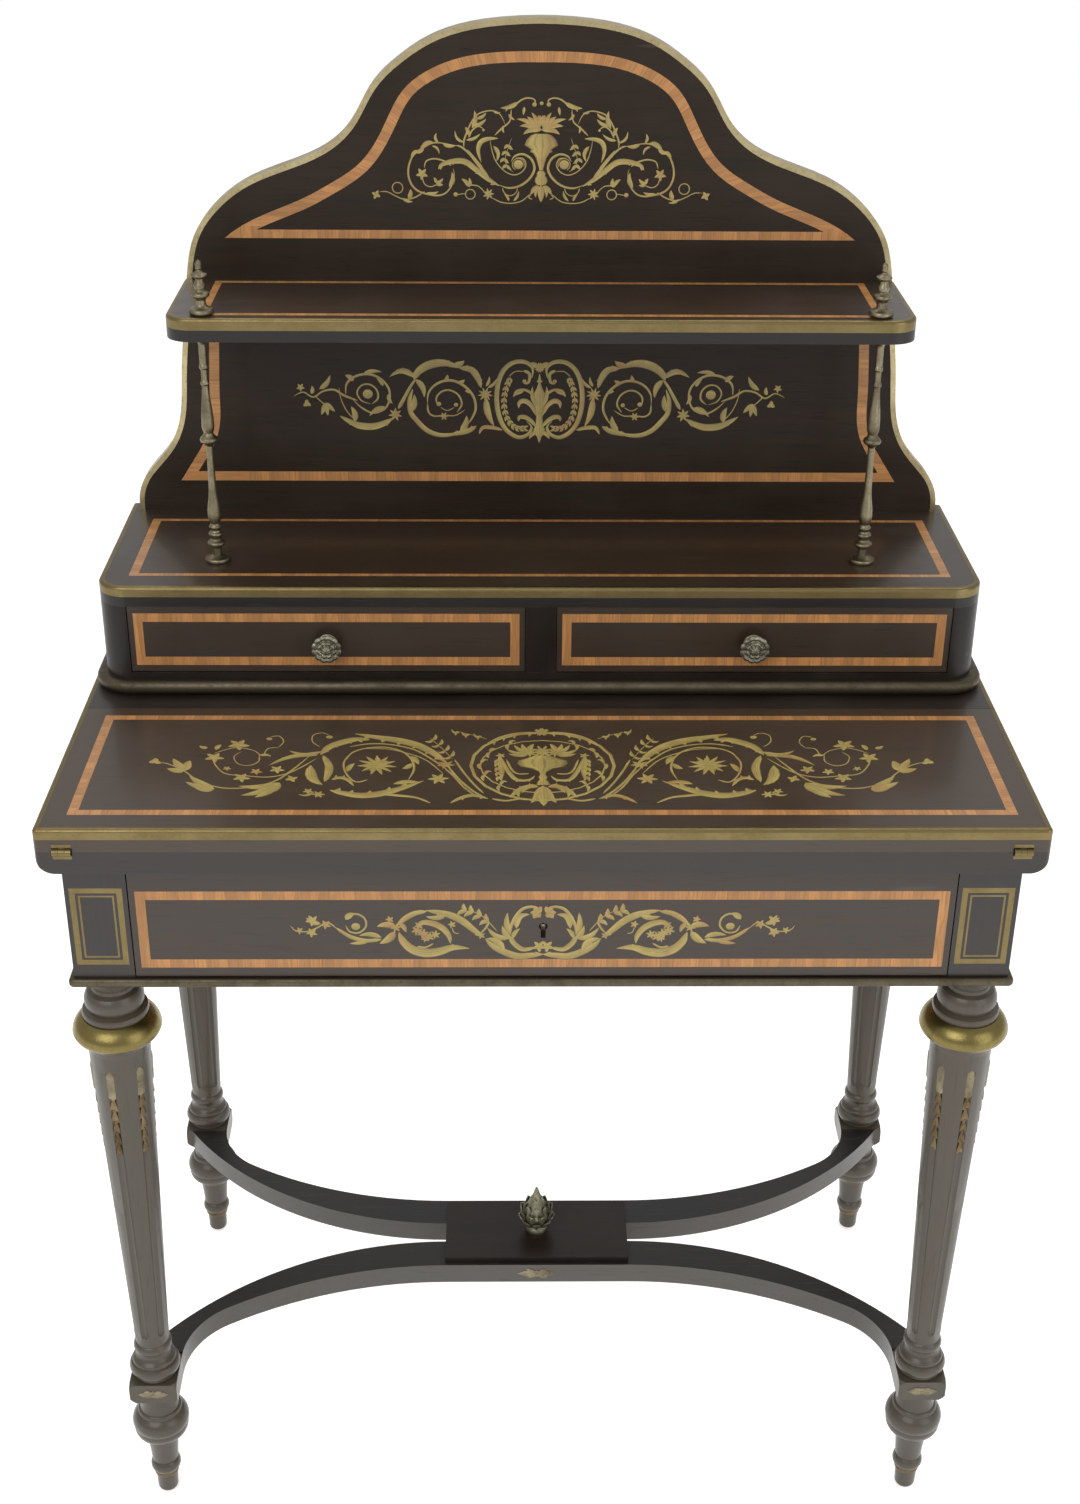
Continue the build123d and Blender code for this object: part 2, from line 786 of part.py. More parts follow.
save("writing_drawer_sides", *[
    block(
        (min(sign * drawer_outer_x, sign * drawer_inner_x), drawer_front_back, drawer_side_low),
        (max(sign * drawer_outer_x, sign * drawer_inner_x), drawer_back, drawer_side_high),
    )
    for sign in (-1, 1)
])
save("writing_drawer_bottom", block(
    (-drawer_inner_x, drawer_front_back, drawer_bottom_low),
    (drawer_inner_x, drawer_back, drawer_bottom_low + drawer_bottom_thickness),
))
save("writing_drawer_back", block(
    (-drawer_inner_x, drawer_back - drawer_back_thickness, drawer_bottom_low + drawer_bottom_thickness),
    (drawer_inner_x, drawer_back, drawer_side_high),
))

# ------------------------------------------------------------------ hinged leaf and fixed leaf
hinge_y = front - hinge_axis_out
hinge_places = [-half_width + hinge_inset, half_width - hinge_inset]
knuckle_width = hinge_width / 3


def on_hinge_axis(x, radius, width):
    """A cylinder along the hinge axis, centred at x."""
    return Pos(x, hinge_y, joint_height) * Rot(0, 90, 0) * Cylinder(radius, width)


def hinge_plate(x, side):
    """One plate of a hinge; side +1 is above the joint and -1 below it."""
    zs = sorted((joint_height, joint_height + side * hinge_plate_height))
    half = hinge_width / 2
    return block((x - half, front, zs[0]), (x + half, front + hinge_plate_thickness, zs[1]))


def hinge_half(x, side):
    """A hinge plate with its knuckles: one in the middle above, two outside below."""
    own_slots = (0,) if side > 0 else (-1, 1)
    plate = hinge_plate(x, side) - on_hinge_axis(x, hinge_knuckle_radius + hinge_relief, 2 * hinge_width)
    for slot in own_slots:
        middle = x + slot * knuckle_width
        width = knuckle_width - hinge_knuckle_gap
        knuckle = on_hinge_axis(middle, hinge_knuckle_radius, width)
        web = hinge_plate(x, side) & block(
            (middle - width / 2, front - 1, joint_height - 2 * hinge_plate_height),
            (middle + width / 2, front + hinge_plate_thickness, joint_height + 2 * hinge_plate_height),
        )
        web -= block(
            (middle - width, front - 1, joint_height - hinge_relief),
            (middle + width, front + 2 * hinge_plate_thickness, joint_height + hinge_relief),
        )
        plate += knuckle + web
    bore = hinge_pin_radius + (hinge_pin_clearance if side > 0 else 0)
    return plate - on_hinge_axis(x, bore, 2 * hinge_width)


def hinge_space(side):
    """What both hinges take out of a leaf: the plates' pockets and the barrels' relief."""
    spaces = []
    for x in hinge_places:
        spaces.append(hinge_plate(x, side))
        spaces.append(on_hinge_axis(x, hinge_knuckle_radius + hinge_relief, hinge_width + 2 * hinge_relief))
    return spaces


save("hinge_upper_plates", *[hinge_half(x, 1) for x in hinge_places])
save("hinge_lower_plates", *[
    hinge_half(x, -1) + on_hinge_axis(x, hinge_pin_radius, hinge_width - hinge_knuckle_gap)
    for x in hinge_places
])

leaf_band = ring(
    (-half_width + leaf_band_side_inset, front + leaf_band_front_inset, writing_height - inlay_depth),
    (half_width - leaf_band_side_inset, leaf_back - leaf_band_back_inset, writing_height),
    (band_width, band_width, 0),
)
edge_low = writing_height - edge_brass_height
leaf_edge = edge_strip(
    half_width, front, leaf_back, top_corner_radius,
    edge_low, writing_height, edge_brass_width, edge_brass_radius,
)
leaf_body = plan_slab(half_width, front, leaf_back, top_corner_radius, joint_height, writing_height)
edge_pocket = edge_strip(
    half_width + 1, front - 1, leaf_back, top_corner_radius + 1,
    edge_low, writing_height + 1, edge_brass_width + 1, 0.0,
)
leather_x = half_width - leather_margin
leather_y = (front + leather_margin, leaf_back - leather_margin)


def leather(low, high):
    """The writing leather's space between two heights."""
    return block((-leather_x, leather_y[0], low), (leather_x, leather_y[1], high))


leaf_pocket = leather(joint_height - 1, joint_height + leather_pocket)
leaf_board = leaf_body - edge_pocket - leaf_band - leaf_pocket - hinge_space(1)
save("leaf", leaf_board)
save("leaf_edge", leaf_edge - hinge_space(1))
save("leaf_band", leaf_band)
save("leaf_leather", leather(
    joint_height + leather_pocket - leather_thickness, joint_height + leather_pocket
))

end_profile = block((-half_width, front - 1, apron_top), (half_width, back + 1, joint_height))
end_edges = end_profile.edges().filter_by(Axis.Y).filter_by_position(Axis.Z, apron_top - 0.1, apron_top + 0.1)
end_profile = fillet(end_edges, fixed_leaf_end_radius)
fixed_leaf = plan_slab(half_width, front, back, top_corner_radius, apron_top, joint_height) & end_profile
notch_face = make_face(Polyline(
    (finger_notch_from, 0, apron_top - 1),
    (finger_notch_from, 0, apron_top),
    (finger_notch_from + finger_notch_slope, 0, apron_top + finger_notch_height),
    (finger_notch_to - finger_notch_slope, 0, apron_top + finger_notch_height),
    (finger_notch_to, 0, apron_top),
    (finger_notch_to, 0, apron_top - 1),
    close=True,
))
finger_notch = Pos(0, front - 1, 0) * extrude(notch_face, finger_notch_depth + 1, dir=(0, 1, 0))
lower_pocket = leather(joint_height - leather_pocket, joint_height + 1)
bolt_mortise = block(
    (bolt_space.bounding_box().min.X, bolt_space.bounding_box().min.Y, apron_top - 1),
    (
        bolt_space.bounding_box().max.X,
        bolt_space.bounding_box().max.Y,
        bolt_top + lock_bolt_throw + lock_mortise_spare,
    ),
)
save("fixed_leaf", fixed_leaf - finger_notch - lower_pocket - bolt_mortise - hinge_space(-1))
save("fixed_leaf_leather", leather(
    joint_height - leather_pocket, joint_height - leather_pocket + leather_thickness
))

rear_board = block((-half_width, rear_front, joint_height), (half_width, back, writing_height))
rear_edges = []
for sign in (-1, 1):
    xs = sorted((sign * half_width, sign * (half_width - edge_brass_width)))
    strip = block((xs[0], rear_front, edge_low), (xs[1], back, writing_height))
    rear_board -= strip
    outer = strip.edges().filter_by(Axis.Y).sort_by(Axis.Z)[-2:].sort_by(Axis.X)[-1 if sign > 0 else 0]
    rear_edges.append(fillet(outer, edge_brass_radius))
save("rear_top", rear_board)
save("rear_top_edges", *rear_edges)


# ------------------------------------------------------------------ drawer case
def case_slab(bottom, top, **rounding):
    """A slab with the case's plan."""
    return plan_slab(case_half_width, case_front, back, case_corner_radius, bottom, top, **rounding)


behind_case = block(
    (-half_width, case_back_front, writing_height),
    (half_width, back + 1, case_drawer_top),
)
save("case_bottom", case_slab(writing_height, case_drawer_bottom) - behind_case)
save("case_moulding", edge_strip(
    case_half_width + case_moulding_proud,
    case_front - case_moulding_proud,
    back,
    case_corner_radius + case_moulding_proud,
    writing_height,
    writing_height + case_moulding_height,
    case_moulding_proud,
    case_moulding_radius,
    case_moulding_radius,
) - case_slab(writing_height - 1, writing_height + case_moulding_height + 1))


small_band_low = case_drawer_bottom + small_band_bottom_inset
small_band_high = case_drawer_top - small_band_top_inset


def case_side_band(sign):
    """The banding let into the outside of a case side."""
    xs = sorted((sign * case_half_width, sign * (case_half_width - inlay_depth)))
    return ring(
        (xs[0], case_front + case_corner_radius + case_band_narrow, small_band_low),
        (xs[1], case_back_front - case_band_narrow, small_band_high),
        (0, case_band_narrow, case_band_narrow),
    )


middle_slab = case_slab(case_drawer_bottom, case_drawer_top) - behind_case
case_side_bands = [case_side_band(sign) for sign in (-1, 1)]
for name, sign, band in zip(("case_side_left", "case_side_right"), (-1, 1), case_side_bands):
    xs = sorted((sign * case_inner_x, sign * (case_half_width + 1)))
    window = block((xs[0], case_front - 1, writing_height), (xs[1], back + 1, case_top))
    save(name, (middle_slab & window) - band)
divider_half = case_divider_thickness / 2
save("case_divider", block(
    (-divider_half, case_front, case_drawer_bottom),
    (divider_half, case_back_front, case_drawer_top),
))
save("case_back", block(
    (-case_half_width, case_back_front, writing_height),
    (case_half_width, back, case_drawer_top),
))
case_edge_low = case_top - edge_brass_height
case_top_band = ring(
    (-case_half_width + case_band_side_inset, case_front + case_band_front_inset, case_top - inlay_depth),
    (case_half_width - case_band_side_inset, back - case_band_back_inset, case_top),
    (band_width, case_band_narrow, 0),
)
case_edge = edge_strip(
    case_half_width, case_front, back, case_corner_radius,
    case_edge_low, case_top, edge_brass_width, edge_brass_radius,
)
case_edge_pocket = edge_strip(
    case_half_width + 1, case_front - 1, back, case_corner_radius + 1,
    case_edge_low, case_top + 1, edge_brass_width + 1, 0.0,
)
save("case_top", case_slab(case_drawer_top, case_top) - case_edge_pocket - case_top_band)
save("case_top_edge", case_edge)

# ------------------------------------------------------------------ small drawers
small_front = case_front + small_drawer_set_back
small_front_back = small_front + small_drawer_front_thickness
small_back = case_back_front - small_drawer_back_space
small_low = case_drawer_bottom + small_drawer_gap
small_high = case_drawer_top - small_drawer_gap
small_inner = divider_half + small_drawer_gap
small_outer = case_inner_x - small_drawer_gap
small_box_low = case_drawer_bottom + slide_gap
small_box_high = small_box_low + small_drawer_side_height
knob_x = (small_inner + small_outer) / 2
knob_z = (small_low + small_high) / 2 - knob_drop
knob_profile = [
    (knob_base_radius, 0, 0),
    (knob_base_radius - 1.0, 2.0, 0.4),
    (knob_neck_radius, 4.0, -0.6),
    (knob_neck_radius, 7.0, 0),
    (knob_radius - 1.0, 9.5, -0.6),
    (knob_radius - 1.0, 12.5, 1.0),
    (8.5, 13.2, 0),
    (8.0, 14.4, 0.5),
    (4.5, 14.2, 0),
    (2.0, knob_proud, 1.0),
]


def knob(x):
    """A turned rosette knob on the drawer's face, with its screw through the front."""
    facing = Pos(x, small_front, knob_z) * Rot(90, 0, 0)
    screw = Cylinder(
        knob_screw_radius, small_drawer_front_thickness, align=(Align.CENTER, Align.CENTER, Align.MAX)
    )
    return facing * (turned(knob_profile) + screw)


def small_drawer(name, side):
    """One small drawer: front, boards, banding and knob."""

    def span(near, far, y0, y1, z0, z1):
        xs = sorted((side * near, side * far))
        return block((xs[0], y0, z0), (xs[1], y1, z1))

    face = span(small_inner, small_outer, small_front, small_front_back, small_low, small_high)
    ends = sorted((side * (small_inner + small_band_end_inset), side * (small_outer - small_band_end_inset)))
    band = ring(
        (ends[0], small_front, small_low + small_band_bottom_inset),
        (ends[1], small_front + inlay_depth, small_high - small_band_top_inset),
        (band_width, 0, band_width),
    )
    handle = knob(side * knob_x)
    save(f"{name}_front", face - band - handle)
    save(f"{name}_band", band)
    save(f"{name}_knob", handle)

    near = small_inner + small_drawer_box_inset
    far = small_outer - small_drawer_box_inset
    wall = small_drawer_side_thickness
    bottom_low = small_box_low + small_drawer_bottom_lift
    bottom_high = bottom_low + small_drawer_bottom_thickness
    save(
        f"{name}_boards",
        span(near, near + wall, small_front_back, small_back, small_box_low, small_box_high),
        span(far - wall, far, small_front_back, small_back, small_box_low, small_box_high),
        span(near + wall, far - wall, small_front_back, small_back, bottom_low, bottom_high),
        span(near + wall, far - wall, small_back - wall, small_back, bottom_high, small_box_high),
    )


small_drawer("left_drawer", -1)
small_drawer("right_drawer", 1)

# ------------------------------------------------------------------ back panel
# Points of the right-hand outlines: (share of the panel's half width, share of its height). The
# panel and its upper band are stretched apart below and above the shelf, whose level has its own share.
shelf_level_share = 0.4515
panel_curve = [
    (1.0, 0.016), (0.996, 0.043), (0.983, 0.070), (0.944, 0.111), (0.906, 0.153),
    (0.880, 0.214), (0.871, 0.290), (0.861, 0.368), (0.841, 0.494), (0.815, 0.585),
    (0.764, 0.643), (0.689, 0.690), (0.554, 0.735), (0.481, 0.768), (0.436, 0.808),
    (0.396, 0.866), (0.367, 0.896), (0.328, 0.924), (0.262, 0.960), (0.174, 0.986), (0.084, 0.997), (0.0, 1.0),
]
upper_curve = [
    (0.743, 0.579), (0.690, 0.609), (0.615, 0.637), (0.557, 0.657), (0.488, 0.688),
    (0.419, 0.728), (0.379, 0.772), (0.350, 0.819), (0.316, 0.866), (0.260, 0.902),
    (0.186, 0.926), (0.098, 0.937), (0.0, 0.939),
]
lower_curve = [
    (0.891, 0.0), (0.849, 0.15), (0.812, 0.32), (0.805, 0.53), (0.801, 0.70), (0.793, 1.0),
]


def level(share):
    """Height above the case of a share of the panel's height."""
    if share <= shelf_level_share:
        return share / shelf_level_share * shelf_lift
    share_above = (share - shelf_level_share) / (1 - shelf_level_share)
    return shelf_lift + share_above * (panel_height - shelf_lift)


def scaled(curve):
    """A list of shares as points in the panel's own plane."""
    return [(u * panel_half_width, level(v)) for u, v in curve]


def inset_points(points, inset):
    """The points moved inwards, square to the line through their neighbours."""
    moved = []
    last = len(points) - 1
    for index, (x, z) in enumerate(points):
        before = points[max(index - 1, 0)]
        after = points[min(index + 1, last)]
        if index == last and x == 0:
            before, after = (1.0, z), (-1.0, z)
        run_x = after[0] - before[0]
        run_z = after[1] - before[1]
        length = math.hypot(run_x, run_z)
        moved.append((x - inset * run_z / length, z + inset * run_x / length))
    return moved


def panel_face(points, foot, closed_top=True):
    """The symmetrical face below a right-hand outline, standing on the height foot."""
    right = [Vector(x, 0, z) for x, z in points]
    left = [Vector(-x, 0, z) for x, z in points]
    base = right[0].X
    if closed_top:
        edges = [Spline(*right, *reversed(left[:-1]))]
    else:
        edges = [Spline(*right), Spline(*left), Line(right[-1], left[-1])]
    if right[0].Z > foot:
        edges.append(Line(Vector(base, 0, foot), right[0]))
        edges.append(Line(Vector(-base, 0, foot), left[0]))
    edges.append(Line(Vector(base, 0, foot), Vector(-base, 0, foot)))
    return make_face(edges)


def panel_solid(face, y_near, thickness):
    """A face of the panel's plane made solid, from y_near towards the back."""
    return Pos(0, y_near, case_top) * extrude(face, thickness, dir=(0, 1, 0))


outline = scaled(panel_curve)
panel_whole = panel_solid(panel_face(outline, 0.0), panel_front, panel_thickness)
panel_core = panel_solid(
    panel_face(inset_points(outline, panel_edge_width), 0.0), panel_front - 1, panel_thickness + 2
)
upper_outline = scaled(upper_curve)
upper_foot = upper_outline[0][1]
upper_outer = panel_solid(panel_face(upper_outline, upper_foot), panel_front, inlay_depth)
upper_inner = panel_solid(
    panel_face(inset_points(upper_outline, upper_band_width), upper_foot - 2 * upper_band_width),
    panel_front - 1,
    inlay_depth + 2,
)
upper_inner &= block(
    (-panel_half_width, panel_front - 2, case_top + upper_foot + upper_band_bar_width),
    (panel_half_width, back, total_height),
)
upper_band = upper_outer - upper_inner

lower_band_height = shelf_lift - lower_band_lift - lower_band_shelf_gap
lower_points = [(u * panel_half_width, lower_band_lift + v * lower_band_height) for u, v in lower_curve]
lower_outer = panel_solid(panel_face(lower_points, lower_band_lift, False), panel_front, inlay_depth)
lower_inset = inset_points(lower_points, lower_band_width)
lower_inner = panel_solid(
    panel_face(lower_inset, lower_band_lift - lower_band_width, False), panel_front - 1, inlay_depth + 2
)
lower_inner &= block(
    (-panel_half_width, panel_front - 2, case_top + lower_band_lift + lower_band_width),
    (panel_half_width, back, case_top + lower_band_lift + lower_band_height - lower_band_width),
)
lower_band = lower_outer - lower_inner

save("back_panel", (panel_whole & panel_core) - upper_band - lower_band)
save("back_panel_edge", panel_whole - panel_core)

# ------------------------------------------------------------------ shelf, posts and finials
shelf_edge_low = shelf_top - shelf_edge_height
shelf_edge = edge_strip(
    shelf_half_width, shelf_front, panel_front, shelf_corner_radius,
    shelf_edge_low, shelf_top, shelf_edge_width, edge_brass_radius,
)
shelf_edge_pocket = edge_strip(
    shelf_half_width + 1, shelf_front - 1, panel_front, shelf_corner_radius + 1,
    shelf_edge_low, shelf_top + 1, shelf_edge_width + 1, 0.0,
)
shelf_band = ring(
    (-shelf_half_width + shelf_band_inset, shelf_front + shelf_band_front_inset, shelf_top - inlay_depth),
    (shelf_half_width - shelf_band_inset, panel_front - shelf_band_back_inset, shelf_top),
    (shelf_band_width, shelf_band_width, 0),
)
shelf_board = plan_slab(
    shelf_half_width, shelf_front, panel_front, shelf_corner_radius, shelf_bottom, shelf_top
)
save("shelf", shelf_board - shelf_edge_pocket - shelf_band)
save("shelf_edge", shelf_edge)
save("bandings", case_top_band, shelf_band, upper_band, lower_band, *side_bands, *case_side_bands)

post_profile = [
    (post_base_radius, 0, 0),
    (post_base_radius, 4.0, 0.6),
    (4.2, 6.5, -0.6),
    (4.2, 13.0, 0),
    (post_ring_radius - 0.8, 15.5, 0),
    (post_ring_radius - 0.8, 19.0, 0.8),
    (4.4, 21.5, -0.4),
    (post_ring_radius - 2.2, 24.5, 0),
    (post_ring_radius - 2.2, 27.5, 0.7),
    (4.2, 29.5, -0.3),
    (post_ring_radius - 3.0, 31.5, 0),
    (post_ring_radius - 3.0, 34.0, 0.6),
    (4.2, 36.0, -0.2),
    (post_bulb_radius - 0.2, 44.0, 0.5),
    (4.8, 56.0, 0.3),
    (3.4, 70.0, -0.3),
    (3.0, post_ring_height - 6.0, -0.2),
    (post_ring_radius - 1.0, post_ring_height - 2.0, -0.6),
    (post_ring_radius - 1.0, post_ring_height + 2.0, 0.8),
    (4.0, post_ring_height + 6.0, -0.4),
    (post_bulb_radius - 0.8, post_ring_height + 14.0, 0.6),
    (4.6, post_ring_height + 28.0, 0.2),
    (2.8, shelf_lift - 39.0, -0.2),
    (3.8, shelf_lift - 36.5, 0.5),
    (2.8, shelf_lift - 34.0, 0.2),
    (2.8, shelf_lift - 25.0, 0),
    (3.9, shelf_lift - 22.5, 0.5),
    (post_top_radius, shelf_lift - 20.0, 0.2),
    (post_top_radius, shelf_lift - 5.0, 0),
    (4.8, shelf_lift, -0.6),
]
finial_profile = [
    (finial_base_radius - 0.8, 0, 0),
    (finial_base_radius - 0.8, 5.0, 1.2),
    (4.4, 8.5, -0.8),
    (4.0, 12.0, 0),
    (7.0, 15.0, -0.4),
    (7.0, 18.5, 0.8),
    (4.4, 21.0, -0.4),
    (5.0, 25.0, 0.4),
    (3.4, 30.0, -0.3),
    (6.4, 32.0, -0.2),
    (6.4, 34.0, 0.6),
    (2.6, 36.5, -0.4),
    (2.0, finial_height - 8.0, 0),
    (2.6, finial_height - 5.0, 0.5),
    (0.8, finial_height, 1.0),
]
posts = []
finials = []
for x in (-post_x, post_x):
    posts.append(Pos(x, post_y, case_top) * turned(post_profile))
    finials.append(Pos(x, post_y + finial_base_radius, shelf_top) * turned(finial_profile))
save("shelf_posts", *posts)
save("shelf_finials", *finials)
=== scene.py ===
"""Finishes, ornament and stage for a ladies' writing desk with a fold-over top."""

import json
import math

import bmesh
import bpy
from mathutils import Matrix, Vector


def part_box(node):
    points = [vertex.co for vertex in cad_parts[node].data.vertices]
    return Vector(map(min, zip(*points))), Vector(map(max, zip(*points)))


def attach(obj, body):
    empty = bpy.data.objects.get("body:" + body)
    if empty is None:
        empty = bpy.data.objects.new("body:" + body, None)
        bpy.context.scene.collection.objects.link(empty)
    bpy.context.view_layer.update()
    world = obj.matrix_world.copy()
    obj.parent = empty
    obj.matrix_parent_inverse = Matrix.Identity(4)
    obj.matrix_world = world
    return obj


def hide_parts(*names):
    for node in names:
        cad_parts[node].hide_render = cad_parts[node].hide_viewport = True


bl_info = {
    "name": "Ebonised writing desk",
    "version": (1, 0, 0),
    "blender": (4, 5, 0),
    "location": "3D View > Sidebar > Desk",
    "description": "Woods, metals, inlaid ornament and castings for the writing desk",
    "category": "Object",
}

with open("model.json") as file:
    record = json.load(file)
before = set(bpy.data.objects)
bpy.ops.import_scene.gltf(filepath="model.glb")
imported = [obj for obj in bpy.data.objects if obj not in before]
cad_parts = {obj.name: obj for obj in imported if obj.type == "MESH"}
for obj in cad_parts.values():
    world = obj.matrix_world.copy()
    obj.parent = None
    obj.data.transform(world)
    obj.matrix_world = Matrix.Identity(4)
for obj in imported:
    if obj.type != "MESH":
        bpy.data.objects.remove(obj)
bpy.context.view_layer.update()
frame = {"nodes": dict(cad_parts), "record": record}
NODES = frame["nodes"]
MM = 0.001


# ---- settings
def colour_setting(name, description, *default):
    """A colour that can be set in the panel."""
    return bpy.props.FloatVectorProperty(
        name=name, description=description, subtype="COLOR", default=default, min=0.0, max=1.0)


def length_setting(name, description, default, low, high):
    """A length in metres that can be set in the panel."""
    return bpy.props.FloatProperty(
        name=name, description=description, unit="LENGTH", default=default, min=low, max=high)


def count_setting(name, description, default, low, high):
    """A whole number that can be set in the panel."""
    return bpy.props.IntProperty(
        name=name, description=description, default=default, min=low, max=high)


def angle_setting(name, description, degrees):
    """An angle that can be set in the panel."""
    return bpy.props.FloatProperty(
        name=name, description=description, subtype="ANGLE", default=math.radians(degrees))


class DeskFinishes(bpy.types.PropertyGroup):
    """Colours and gloss of the desk's woods and metals."""

    ebony: colour_setting(
        "Ebonised wood", "Colour of the blackened wood", 0.0125, 0.0095, 0.0078)
    veneer: colour_setting("Dark veneer", "Colour of the inlaid fields", 0.0300, 0.0190, 0.0112)
    rubbed: colour_setting(
        "Rubbed edges", "Brown wood where the black is rubbed off", 0.110, 0.048, 0.024)
    banding: colour_setting("Banding", "Colour of the cross-grained banding", 0.50, 0.232, 0.078)
    brass: colour_setting("Brass", "Colour of the aged brass", 0.212, 0.163, 0.074)
    gilt: colour_setting("Gilt brass", "Colour of the gilded mounts", 0.235, 0.185, 0.066)
    bronze: colour_setting("Bronze", "Colour of the dull bronze posts", 0.27, 0.23, 0.15)
    steel: colour_setting("Steel", "Colour of the old steel of the lock", 0.42, 0.34, 0.30)
    husk: colour_setting("Husk gilding", "Colour of the worn husks", 0.235, 0.170, 0.095)
    knob: colour_setting("Knob bronze", "Colour of the dark drawer knobs", 0.34, 0.33, 0.25)
    turned: colour_setting("Turned wood", "Greyed black of the legs", 0.066, 0.056, 0.038)
    arms: colour_setting(
        "Stretcher wood", "Colour of the stretcher's upright faces", 0.085, 0.082, 0.073)
    foot: colour_setting("Foot rings", "Colour of the worn rings on the feet", 0.20, 0.145, 0.085)
    # painted highlight: a paler brass for the light the back panel's rim catches
    rim: colour_setting("Rim brass", "Brighter brass round the back panel", 0.50, 0.42, 0.24)
    moulding: colour_setting(
        "Mouldings", "Dull mouldings under the apron and the case", 0.125, 0.105, 0.072)
    cone: colour_setting("Cone", "Colour of the stretcher's cone", 0.34, 0.33, 0.23)
    rod: colour_setting("Flute rods", "Plain rods above the husks", 0.30, 0.255, 0.17)
    inlay_wood: colour_setting("Inlay wood", "Colour of the inlaid ornament", 0.42, 0.32, 0.100)
    leather: colour_setting("Leather", "Colour of the writing leather", 0.085, 0.012, 0.010)
    box_wood: colour_setting("Drawer wood", "Colour of the plain wood inside", 0.34, 0.19, 0.085)
    wood_gloss: bpy.props.FloatProperty(
        name="Wood roughness", description="Roughness of the polished wood", subtype="FACTOR",
        default=0.34, min=0.05, max=1.0)


class DeskSizes(bpy.types.PropertyGroup):
    """Sizes of the ornament that stands on the solids."""

    inlay_rise: length_setting(
        "Inlay rise", "How far the inlaid ornament stands above its field",
        0.00012, 0.00005, 0.001)
    inlay_depth: length_setting(
        "Inlay depth", "Thickness of the inlaid ornament", 0.0004, 0.0002, 0.002)
    husk_length: length_setting(
        "Husk length", "Length of one husk in the flutes", 0.0122, 0.005, 0.03)
    bud_rows: count_setting("Cone rows", "Rows of scales on the stretcher's cone", 4, 3, 10)
    cone_scales: count_setting("Cone scales", "Scales in each row of the cone", 8, 6, 16)
    knob_petals: count_setting("Knob petals", "Petals of a drawer knob's rosette", 12, 6, 24)


class DeskStage(bpy.types.PropertyGroup):
    """Camera and light."""

    camera_place: bpy.props.FloatVectorProperty(
        name="Camera place", description="Where the camera stands", subtype="TRANSLATION",
        unit="LENGTH", default=(-0.026544, -1.570428, 1.540633))
    camera_down: angle_setting("Camera pitch", "How far the camera looks down", 27.842)
    camera_yaw: angle_setting("Camera yaw", "How far the camera is turned to the right", 0.957)
    camera_roll: angle_setting("Camera roll", "How far the camera is tilted", 0.473)
    camera_lens: bpy.props.FloatProperty(
        name="Lens", description="Focal length in millimetres", default=47.685)
    key_power: bpy.props.FloatProperty(
        name="Key light", description="Power of the large front light in watts", default=46.0)
    top_power: bpy.props.FloatProperty(
        name="Top light", description="Power of the light above in watts", default=20.0)
    world_level: bpy.props.FloatProperty(
        name="World", description="Strength of the even light all round", default=0.62)


def finishes():
    return bpy.context.scene.desk_finishes


def sizes():
    return bpy.context.scene.desk_sizes


# ---- node helpers
def new_group(name, inputs, outputs):
    """A shader node group with named sockets; each is (name, kind, default)."""
    group = bpy.data.node_groups.new(name, "ShaderNodeTree")
    for direction, sockets in (("INPUT", inputs), ("OUTPUT", outputs)):
        for label, kind, default in sockets:
            socket = group.interface.new_socket(label, in_out=direction, socket_type=kind)
            if default is not None:
                socket.default_value = default
    source = group.nodes.new("NodeGroupInput")
    sink = group.nodes.new("NodeGroupOutput")
    return group, source.outputs, sink.inputs


